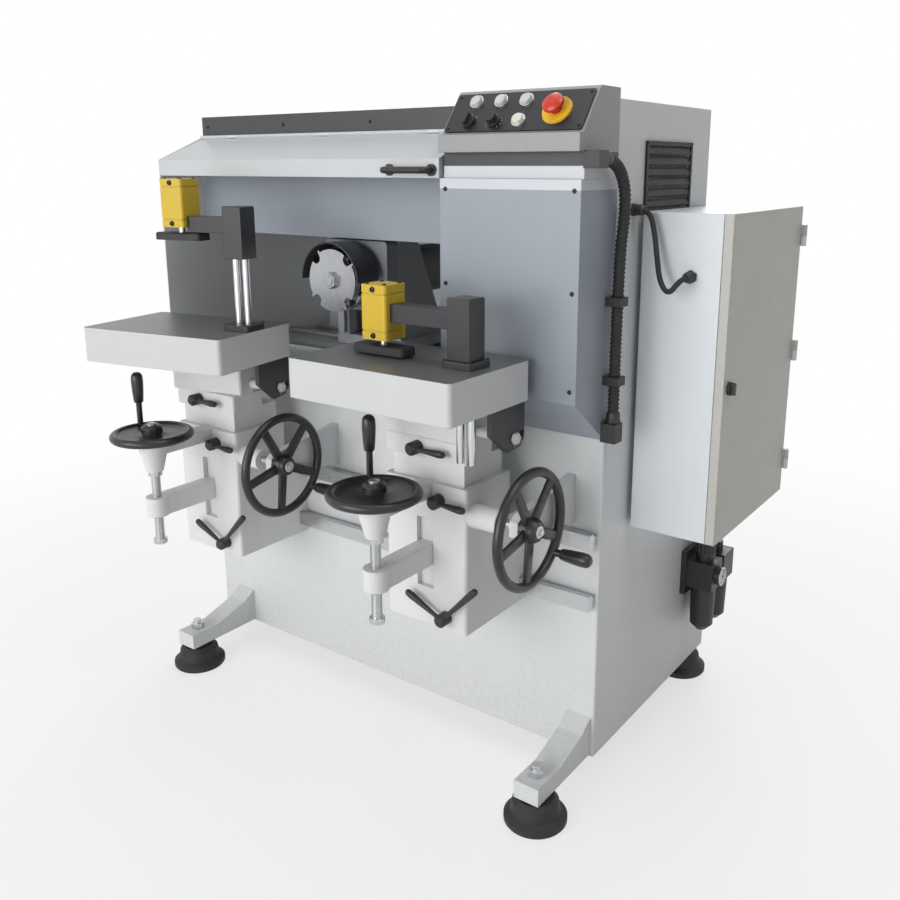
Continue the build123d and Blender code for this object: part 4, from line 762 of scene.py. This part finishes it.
def make_cross_wheel(side):
    node = f"cross_wheel_{side}"
    centre = joint_place(f"{node}_turn")
    rim = 0.115
    spokes = 5
    hub = [(0, -0.0146), (0.024, -0.0146), (0.026, -0.0130), (0.026, 0.0100), (0.020, 0.0198), (0, 0.0198)]
    bm = bmesh.new()
    ring(bm, centre, right, rim, 0.0100)
    spun(bm, hub, centre, right, 40)
    for number in range(spokes):
        cross_wheel_spoke(bm, centre, radians(30 + 360 / spokes * number))
    foot = centre + Vector((0, 0.75, -0.66)) * rim
    grip(bm, foot, right, stem=0.0078, shoulder=0.021, length=0.0898, radius=0.0150)
    made = finished(bm, f"cross_handwheel_{side}", grip_black, node)
    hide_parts(node)

    start = Vector((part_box(node)[0].x, centre.y, centre.z))
    radius, thread, shank = 0.0100, 0.056, 0.048
    bm = bmesh.new()
    threaded(bm, start, right, radius, thread, pitch=0.004, depth=0.0012)
    stub(bm, start + right * thread, right, radius, shank, 32)
    collar(bm, start + right * 0.0577, right, 0.015, 0.007, 0.0008)
    finished(bm, f"cross_screw_thread_{side}", bright_steel, node)

    bm = bmesh.new()
    washer(bm, centre + right * 0.0196, right, 0.013, flat=0.0025, height=0.004, edge=0.002, steps=28)
    washer(bm, centre + right * 0.0234, right, 0.007, flat=0.004, height=0.005, edge=0.001, steps=6)
    finished(bm, f"cross_wheel_washer_{side}", bright_steel, node)


def make_lift_screw(side):
    node = f"lift_screw_{side}"
    wheel = joint_place(f"lift_wheel_{side}_turn")
    low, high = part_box(node)
    foot = Vector((wheel.x, wheel.y, low.z))
    radius, thread = 0.0109, 0.160
    thread_foot, upper_collar, shank_foot = 0.010, 0.1697, 0.177
    bm = bmesh.new()
    threaded(bm, foot + up * thread_foot, up, radius, thread, pitch=0.005, depth=0.0016)
    for height in (0.0, upper_collar):
        collar(bm, foot + up * height, up, 0.016, 0.012, 0.001)
    stub(bm, foot + up * shank_foot, up, radius, high.z - low.z - shank_foot, 32)
    made = finished(bm, f"lift_screw_thread_{side}", turned_steel, f"lift_wheel_{side}")
    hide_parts(node)


# Conduit and cable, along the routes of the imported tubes
conduit_x = 0.528
conduit_route = [
    Vector((conduit_x, y, z))
    for y, z in (
        (-0.168, 1.362), (-0.116, 1.362), (-0.070, 1.320), (-0.064, 1.258), (-0.084, 1.176), (-0.084, 0.842),
    )
]
cable_out = Vector((0.522, 0.012, 1.264))
cable_entry = Vector((0.628, 0.023, 1.134))
cable_route = [
    cable_out, cable_out + Vector((0.022, 0, 0)), cable_out + Vector((0.036, -0.002, -0.042)),
    cable_out + Vector((0.046, -0.008, -0.092)), cable_out + Vector((0.060, -0.020, -0.140)),
    cable_entry + Vector((-0.022, -0.042, -0.032)), cable_entry + Vector((-0.004, -0.036, -0.006)),
    cable_entry + Vector((0, -0.016, 0)), cable_entry,
]
cable_diameter = 0.011


def spline(points, name):
    curve = bpy.data.curves.new(name, "CURVE")
    curve.dimensions = "3D"
    line = curve.splines.new("NURBS")
    line.points.add(len(points) - 1)
    for point, place in zip(line.points, points):
        point.co = (*place, 1)
    line.order_u = 3
    line.use_endpoint_u = True
    line.resolution_u = 12
    return curve


def stations(points, pitch):
    """Evenly spaced points of the route's spline, with the way it runs at each."""
    carrier = bpy.data.objects.new("route", spline(points, "route"))
    scene.collection.objects.link(carrier)
    bpy.context.view_layer.update()
    mesh = bpy.data.meshes.new_from_object(carrier)
    line = [v.co.copy() for v in mesh.vertices]
    bpy.data.objects.remove(carrier)
    bpy.data.meshes.remove(mesh)
    made, run = [(line[0], (line[1] - line[0]).normalized())], 0.0
    for first, second in zip(line, line[1:]):
        step = (second - first).length
        while run + step >= pitch * len(made):
            share = (pitch * len(made) - run) / step
            made.append((first.lerp(second, share), (second - first).normalized()))
        run += step
    made.append((line[-1], (line[-1] - line[-2]).normalized()))
    return made


def make_conduit():
    crest, groove = 0.0119, 0.0102
    radii = (crest, crest, groove, groove)
    bm = bmesh.new()
    before = None
    for number, (place, way) in enumerate(stations(conduit_route, 0.0022)):
        over = way.cross(right).normalized()
        spot = Matrix.Translation(place) @ Matrix((right, over, way)).transposed().to_4x4()
        radius = radii[number % len(radii)]
        loop = edges_of(bmesh.ops.create_circle(bm, segments=18, radius=radius, matrix=spot)["verts"])
        if before is not None:
            bmesh.ops.bridge_loops(bm, edges=before + loop)
        before = loop
    bmesh.ops.holes_fill(bm, edges=bm.edges, sides=0)
    bmesh.ops.recalc_face_normals(bm, faces=bm.faces)
    made = finished(bm, "corrugated_conduit", black_rubber, "frame", 60.0)
    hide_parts("conduit")


def make_cabinet_cable():
    curve = spline(cable_route, "cabinet_lead")
    curve.bevel_depth = cable_diameter / 2
    curve.bevel_resolution = 6
    curve.use_fill_caps = True
    curve.materials.append(black_rubber)
    made = bpy.data.objects.new("cabinet_lead", curve)
    scene.collection.objects.link(made)
    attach(made, "frame")
    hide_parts("cabinet_cable")


def hexagon_nut(bm, start, axis, radius, length):
    """A hexagonal nut with its edges taken off."""
    verts = stub(bm, start, axis, radius, length, 6)
    round_edges(bm, verts, radius * 0.06, 2)


def make_glands():
    bm = bmesh.new()
    sleeve = [
        (0.0056, 0), (0.0108, 0), (0.0112, 0.004), (0.0095, 0.009), (0.0068, 0.012), (0.0056, 0.012),
        (0.0056, 0),
    ]
    for end, axis in ((cable_out, right), (cable_entry, front)):
        hexagon_nut(bm, end - axis * gland_length, axis, 0.0142, 0.006)
        spun(bm, sleeve, end - axis * 0.0002, axis, 28)
    nut_length = 0.009
    socket = [(0.0118, 0), (0.0142, 0), (0.0142, 0.010), (0.0128, 0.014), (0.0118, 0.014), (0.0118, 0)]
    for end, axis in ((conduit_route[0], back), (conduit_route[-1], up)):
        hexagon_nut(bm, end, axis, 0.0158, nut_length)
        spun(bm, socket, end + axis * nut_length, axis, 32)
    finished(bm, "gland_nuts", black_plastic, "frame", 30.0)


# Fasteners
def spread(first, last, count):
    return [first + (last - first) * n / (count - 1) for n in range(count)]


def either_side(value, distance):
    return (value - distance, value + distance)


def inside(low, high, inset):
    return (low + inset, high - inset)


def each(xs, ys, zs):
    """Every place with one of these x, y and z."""
    return [Vector((x, y, z)) for x in xs for y in ys for z in zs]


def make_cover_fasteners():
    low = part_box("front_cover")[0]
    places = each(inside(low.x, wall_x, 0.014), [low.y], spread(0.925, 1.305, 3))
    screw_heads("cover_screws", places, front, 0.0048, "frame")

    low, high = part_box("vent_grille")
    places = each([high.x], inside(low.y, high.y, 0.004), inside(low.z, high.z, 0.004))
    screw_heads("vent_screws", places, right, 0.0026, "frame")

    low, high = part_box("rear_panel")
    ends_x, ends_z = inside(low.x, high.x, 0.013), inside(low.z, high.z, 0.013)
    places = each(spread(*ends_x, 6), [high.y], ends_z) + each(ends_x, [high.y], inside(low.z, high.z, 0.2))
    screw_heads("rear_panel_screws", places, back, 0.0050, "frame")

    columns = spread(*inside(housing_low.x, wall_x, 0.014), 7)
    places = each(columns, [rear_sheet_y], (housing_low.z + 0.066, housing_high.z - 0.014))
    screw_heads("housing_screws", places, back, 0.0050, "frame")

    low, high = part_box("top_strip")
    places = each(spread(*inside(low.x, high.x, 0.022), 4), [low.y], [(low.z + high.z) / 2])
    screw_heads("strip_screws", places, front, 0.0042, "frame")

    columns, rows = (-0.0455, 0.2505), (-0.0145, 0.0625)
    places = [on_console(x, s) + face_out * face_plate for x in columns for s in rows]
    screw_heads("console_screws", places, face_out, 0.0032, "frame")

    low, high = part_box("guide_rails")
    rail_heights = (0.440, 0.580)
    bm = bmesh.new()
    for place in each(spread(*inside(low.x, high.x, 0.05), 12), [low.y + 0.0009], rail_heights):
        stub(bm, place, front, 0.0075, 0.00112, 20)
    finished(bm, "rail_screw_plugs", turned_steel, "frame")


def make_clamp_fasteners(side):
    turn = with_table(side)
    straight = turn.inverted()
    post = straight @ middle(f"clamp_post_{side}")
    flange_top = table_top + 0.014
    places = each(either_side(post.x, 0.030), either_side(post.y, 0.0285), [flange_top])
    screw_heads(f"clamp_flange_screws_{side}", [turn @ p for p in places], up, 0.0038, f"table_{side}")

    low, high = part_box(f"clamp_cylinder_{side}")
    cylinder = straight @ middle(f"clamp_cylinder_{side}")
    places = each(either_side(cylinder.x, 0.0225), either_side(cylinder.y, 0.0225), [high.z])
    screw_heads(f"cylinder_bolts_{side}", [turn @ p for p in places], up, 0.0048, f"clamp_arm_{side}")
    places = each([cylinder.x], [cylinder.y - 0.032], (low.z + 0.0085, high.z - 0.0090))
    out = turn.to_3x3() @ front
    screw_heads(f"cylinder_ports_{side}", [turn @ p for p in places], out, 0.0062, f"clamp_arm_{side}")


# Scales and the pressure gauge
def tick(bm, centre, along, out, inner, outer, width):
    """A thin raised mark that runs outwards from a centre."""
    place = Matrix.Translation(centre + along * (inner + outer) / 2 + out * 0.00006)
    turn = Matrix((along, out.cross(along), out)).transposed().to_4x4()
    size = Matrix.Diagonal((outer - inner, width, 0.0002, 1))
    bmesh.ops.create_cube(bm, size=1.0, matrix=place @ turn @ size)


def fan(bm, centre, start, side, out, angles, inner, outer, width):
    """Marks around a centre; angles are measured from one direction towards another."""
    for angle in angles:
        along = start * cos(radians(angle)) + side * sin(radians(angle))
        tick(bm, centre, along, out, inner, outer, width)


def make_scales():
    sector_face = 0.189
    for side in table_sides:
        turn = with_table(side)
        pivot = turn.inverted() @ joint_place(f"table_{side}_tilt") + right * sector_face
        bm = bmesh.new()
        fan(bm, pivot, -up, back, right, range(0, 16), 0.1085, 0.1118, 0.0006)
        fan(bm, pivot, -up, back, right, range(0, 16, 5), 0.1085, 0.1140, 0.0009)
        bmesh.ops.transform(bm, matrix=turn, verts=bm.verts)
        finished(bm, f"tilt_scale_{side}", mark_white, f"table_{side}")

    selector, dial = [on_console(x, 0.0) + face_out * face_plate for x in device_columns[:2]]
    bm = bmesh.new()
    fan(bm, dial, face_up, right, face_out, range(-135, 136, 27), 0.0160, 0.0190, 0.0007)
    fan(bm, selector, face_up, right, face_out, (-45, 0, 45), 0.0160, 0.0195, 0.0014)
    finished(bm, "console_marks", mark_white, "frame")


def make_gauge():
    regulator = joint_place("regulator_turn")
    centre = Vector((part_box("air_unit")[1].x, regulator.y, regulator.z - 0.064))
    bezel = [
        (0.0205, 0), (0.0205, 0.0012), (0.0220, 0.0022), (0.0238, 0.0012), (0.0238, -0.006), (0.0205, 0),
    ]
    bm = bmesh.new()
    spun(bm, bezel, centre, right, 48)
    finished(bm, "gauge_bezel", bright_steel, "frame")
    bm = bmesh.new()
    stub(bm, centre - right * 0.0005, right, 0.0206, 0.0008, 48)
    finished(bm, "gauge_dial", mark_white, "frame")
    bm = bmesh.new()
    face = centre + right * 0.0003
    fan(bm, face, up, front, right, range(-135, 136, 27), 0.0150, 0.0190, 0.0010)
    fan(bm, face, up, front, right, range(-135, 136, 9), 0.0172, 0.0190, 0.0005)
    fan(bm, face + right * 0.0006, up, front, right, (-40,), -0.005, 0.0165, 0.0012)
    stub(bm, face, right, 0.0022, 0.0012, 16)
    finished(bm, "gauge_marks", black_plastic, "frame")


# Switchgear on the cabinet's mounting plate
plate_x = wall_x + 0.029
gear_low, gear_high = 0.084, 0.430
gear_middle = (gear_low + gear_high) / 2
gear_width = gear_high - gear_low
rail_depth = 0.0075
breaker_row, contactor_row, drive_row, terminal_row = 1.135, 0.985, 0.815, 0.655
duct_rows = (1.208, 1.062, 0.912, 0.712)


def block(bm, y, z, width, height, foot, head, rounding=0.0, segments=2):
    """A block about a place on the plate, from foot to head above the plate."""
    half = Vector((0, width / 2, height / 2))
    low, high = Vector((plate_x + foot, y, z)) - half, Vector((plate_x + head, y, z)) + half
    slab(bm, low, high, rounding, segments)


def make_rails_and_ducts():
    bm = bmesh.new()
    for z in (breaker_row, contactor_row, terminal_row):
        block(bm, gear_middle, z, gear_width - 0.068, 0.035, 0, rail_depth, 0.001, 1)
    finished(bm, "mounting_rails", bright_steel, "frame")

    wall_height, lid, side_width = 0.036, 0.029, 0.030
    bm = bmesh.new()
    for z in duct_rows:
        block(bm, gear_middle, z, gear_width, 0.024, 0, wall_height)
        block(bm, gear_middle, z, gear_width, lid, wall_height, 0.044, 0.0012, 1)
        for y in spread(*inside(gear_low, gear_high, 0.010), 28):
            block(bm, y, z, 0.007, 0.0284, 0.012, wall_height)
    for y in inside(gear_low, gear_high, side_width / 2):
        for low, high in zip(duct_rows[1:], duct_rows):
            block(bm, y, (low + high) / 2, side_width, high - low - lid, 0, 0.040, 0.0012, 1)
    finished(bm, "wiring_ducts", gear_grey, "frame")


def make_breakers():
    z = breaker_row
    width, height = 0.0172, 0.080
    bodies, toggles = bmesh.new(), bmesh.new()
    for y in spread(gear_low + 0.050, gear_high - 0.150, 9):
        block(bodies, y, z, width, height, rail_depth, 0.052, 0.0012)
        block(bodies, y, z, width, 0.045, 0.050, 0.064, 0.0012)
        block(toggles, y, z + 0.006, 0.011, 0.010, 0.060, 0.074, 0.0015)
        for level in either_side(z, 0.0315):
            stub(toggles, (plate_x + 0.0515, y, level), right, 0.0035, 0.0012, 14)
    block(bodies, gear_high - 0.086, z, 0.084, height, rail_depth, 0.058, 0.002)
    finished(bodies, "circuit_breakers", gear_pale, "frame")
    finished(toggles, "breaker_toggles", black_plastic, "frame")


def make_contactors():
    z = contactor_row
    width = 0.044
    bodies, screws = bmesh.new(), bmesh.new()
    for y in spread(*inside(gear_low, gear_high, 0.062), 5):
        block(bodies, y, z, width, 0.080, rail_depth, 0.056, 0.0015)
        block(bodies, y, z, width, 0.048, 0.054, 0.078, 0.002)
        block(bodies, y, z, 0.016, 0.024, 0.077, 0.081, 0.001)
        for place in each([plate_x + 0.0555], spread(*either_side(y, 0.0145), 3), either_side(z, 0.033)):
            stub(screws, place, right, 0.0042, 0.0018, 16)
    finished(bodies, "contactors", gear_dark, "frame")
    finished(screws, "contactor_screws", bright_steel, "frame")


def make_drive_and_terminals():
    z = drive_row
    drive_y = gear_low + 0.106
    supply_low, supply_high = gear_low + 0.186, gear_high - 0.046
    bodies, fronts = bmesh.new(), bmesh.new()
    block(bodies, drive_y, z, 0.120, 0.160, 0, 0.096, 0.003)
    for y in spread(*either_side(drive_y, 0.052), 14):
        block(bodies, y, z, 0.0024, 0.164, 0.012, 0.070)
    block(bodies, (supply_low + supply_high) / 2, z, supply_high - supply_low, 0.124, 0, 0.080, 0.003)
    block(fronts, drive_y, z + 0.035, 0.088, 0.062, 0.0955, 0.0985, 0.0012, 1)
    for y in spread(gear_high - 0.140, gear_high - 0.060, 7):
        block(fronts, y, z, 0.006, 0.096, 0.0795, 0.0815, 0.0008, 1)
    finished(bodies, "motor_drive", gear_dark, "frame")
    finished(fronts, "drive_front", gear_grey, "frame")

    bm = bmesh.new()
    for y in spread(*inside(gear_low, gear_high, 0.044), 38):
        block(bm, y, terminal_row, 0.0062, 0.048, rail_depth, 0.034)
        block(bm, y, terminal_row, 0.0062, 0.024, 0.033, 0.041)
    finished(bm, "terminal_strip", gear_pale, "frame")


for side in table_sides:
    make_lift_wheel(side)
    make_cross_wheel(side)
    make_lift_screw(side)
make_conduit()
make_cabinet_cable()
make_cover_fasteners()
for side in table_sides:
    make_clamp_fasteners(side)
make_glands()
make_scales()
make_gauge()
make_rails_and_ducts()
make_breakers()
make_contactors()
make_drive_and_terminals()


# Room: a pale floor that keeps the shadow, soft lamps and the camera of the photograph
def seen_rays(tree):
    """One for what the camera sees, also in metal and glass, nought for light on the object."""
    path = tree.nodes.new("ShaderNodeLightPath").outputs
    mirrored = calc(tree, "MAXIMUM", path["Is Glossy Ray"], path["Is Transmission Ray"])
    return calc(tree, "MAXIMUM", path["Is Camera Ray"], mirrored)


def make_floor():
    """A floor that fades to white away from the machine."""
    bm = bmesh.new()
    bmesh.ops.create_circle(bm, cap_ends=True, segments=96, radius=14.0)
    mesh = bpy.data.meshes.new("studio_floor")
    bm.to_mesh(mesh)
    bm.free()
    floor = bpy.data.objects.new("studio_floor", mesh)
    scene.collection.objects.link(floor)
    finish = Finish("studio_floor")
    tree = finish.tree
    finish.feed("Base Color", (0.86, 0.86, 0.86))
    finish.feed("Roughness", 0.7)
    glow = tree.nodes.new("ShaderNodeEmission")
    reach = vector_calc(tree, "LENGTH", finish.place, output=1)
    white_share = remap(tree, reach, 0.6, 3.2, 0.66, 1.0)
    both = tree.nodes.new("ShaderNodeMixShader")
    tree.links.new(calc(tree, "MULTIPLY", seen_rays(tree), white_share), both.inputs[0])
    tree.links.new(finish.shader.outputs[0], both.inputs[1])
    tree.links.new(glow.outputs[0], both.inputs[2])
    tree.links.new(both.outputs[0], tree.nodes["Material Output"].inputs[0])
    mesh.materials.append(finish.material)


def make_sky():
    """Soft light from all round, weaker from the right and from overhead."""
    world = bpy.data.worlds.new("studio")
    scene.world = world
    world.use_nodes = True
    tree = world.node_tree
    sky = tree.nodes["Background"]
    sky.inputs["Color"].default_value = (1, 1, 1, 1)
    way = tree.nodes.new("ShaderNodeSeparateXYZ")
    tree.links.new(tree.nodes.new("ShaderNodeTexCoord").outputs["Generated"], way.inputs[0])
    from_side = remap(tree, way.outputs["X"], -0.2, 0.8, 0.60, 0.15)
    from_above = remap(tree, way.outputs["Z"], 0.1, 1.0, 1.0, 0.5)
    light = calc(tree, "MULTIPLY", from_side, from_above)
    tree.links.new(blend_value(tree, seen_rays(tree), light, 1.0), sky.inputs["Strength"])


def make_lamp(name, place, aim, size, power):
    lamp = bpy.data.lights.new(name, "AREA")
    lamp.shape = "DISK"
    lamp.size = size
    lamp.energy = power
    made = bpy.data.objects.new(name, lamp)
    made.location = place
    made.rotation_euler = (Vector(aim) - Vector(place)).to_track_quat("-Z", "Y").to_euler()
    scene.collection.objects.link(made)


def make_camera():
    """The camera of the photograph, solved from its vanishing lines."""
    camera = bpy.data.cameras.new("photo_camera")
    camera.lens = 37.08
    camera.sensor_width = 36.0
    camera.shift_x = -0.02
    camera.shift_y = -0.0689
    azimuth, elevation = 35.7358, 13.4714
    made = bpy.data.objects.new("photo_camera", camera)
    made.location = (1.350, -1.730, 1.350)
    made.rotation_euler = (radians(90 - elevation), 0, radians(azimuth))
    scene.collection.objects.link(made)
    scene.camera = made


make_floor()
make_sky()
make_lamp("front_lamp", (-1.2, -5.0, 2.0), (0, -0.2, 0.8), size=3.6, power=118)
make_lamp("fill_lamp", (0.7, -4.6, 0.9), (0.2, 0, 0.6), size=2.2, power=38)
make_lamp("side_lamp", (2.6, -0.4, 4.8), (0.5, 0, 0.9), size=1.6, power=30)
make_lamp("top_lamp", (0.0, 0.6, 4.6), (0, 0, 0.8), size=3.5, power=36)
make_lamp("rear_lamp", (-1.5, 4.5, 3.0), (0, 0, 0.8), size=3.0, power=80)
make_camera()
scene.view_settings.view_transform = "Standard"
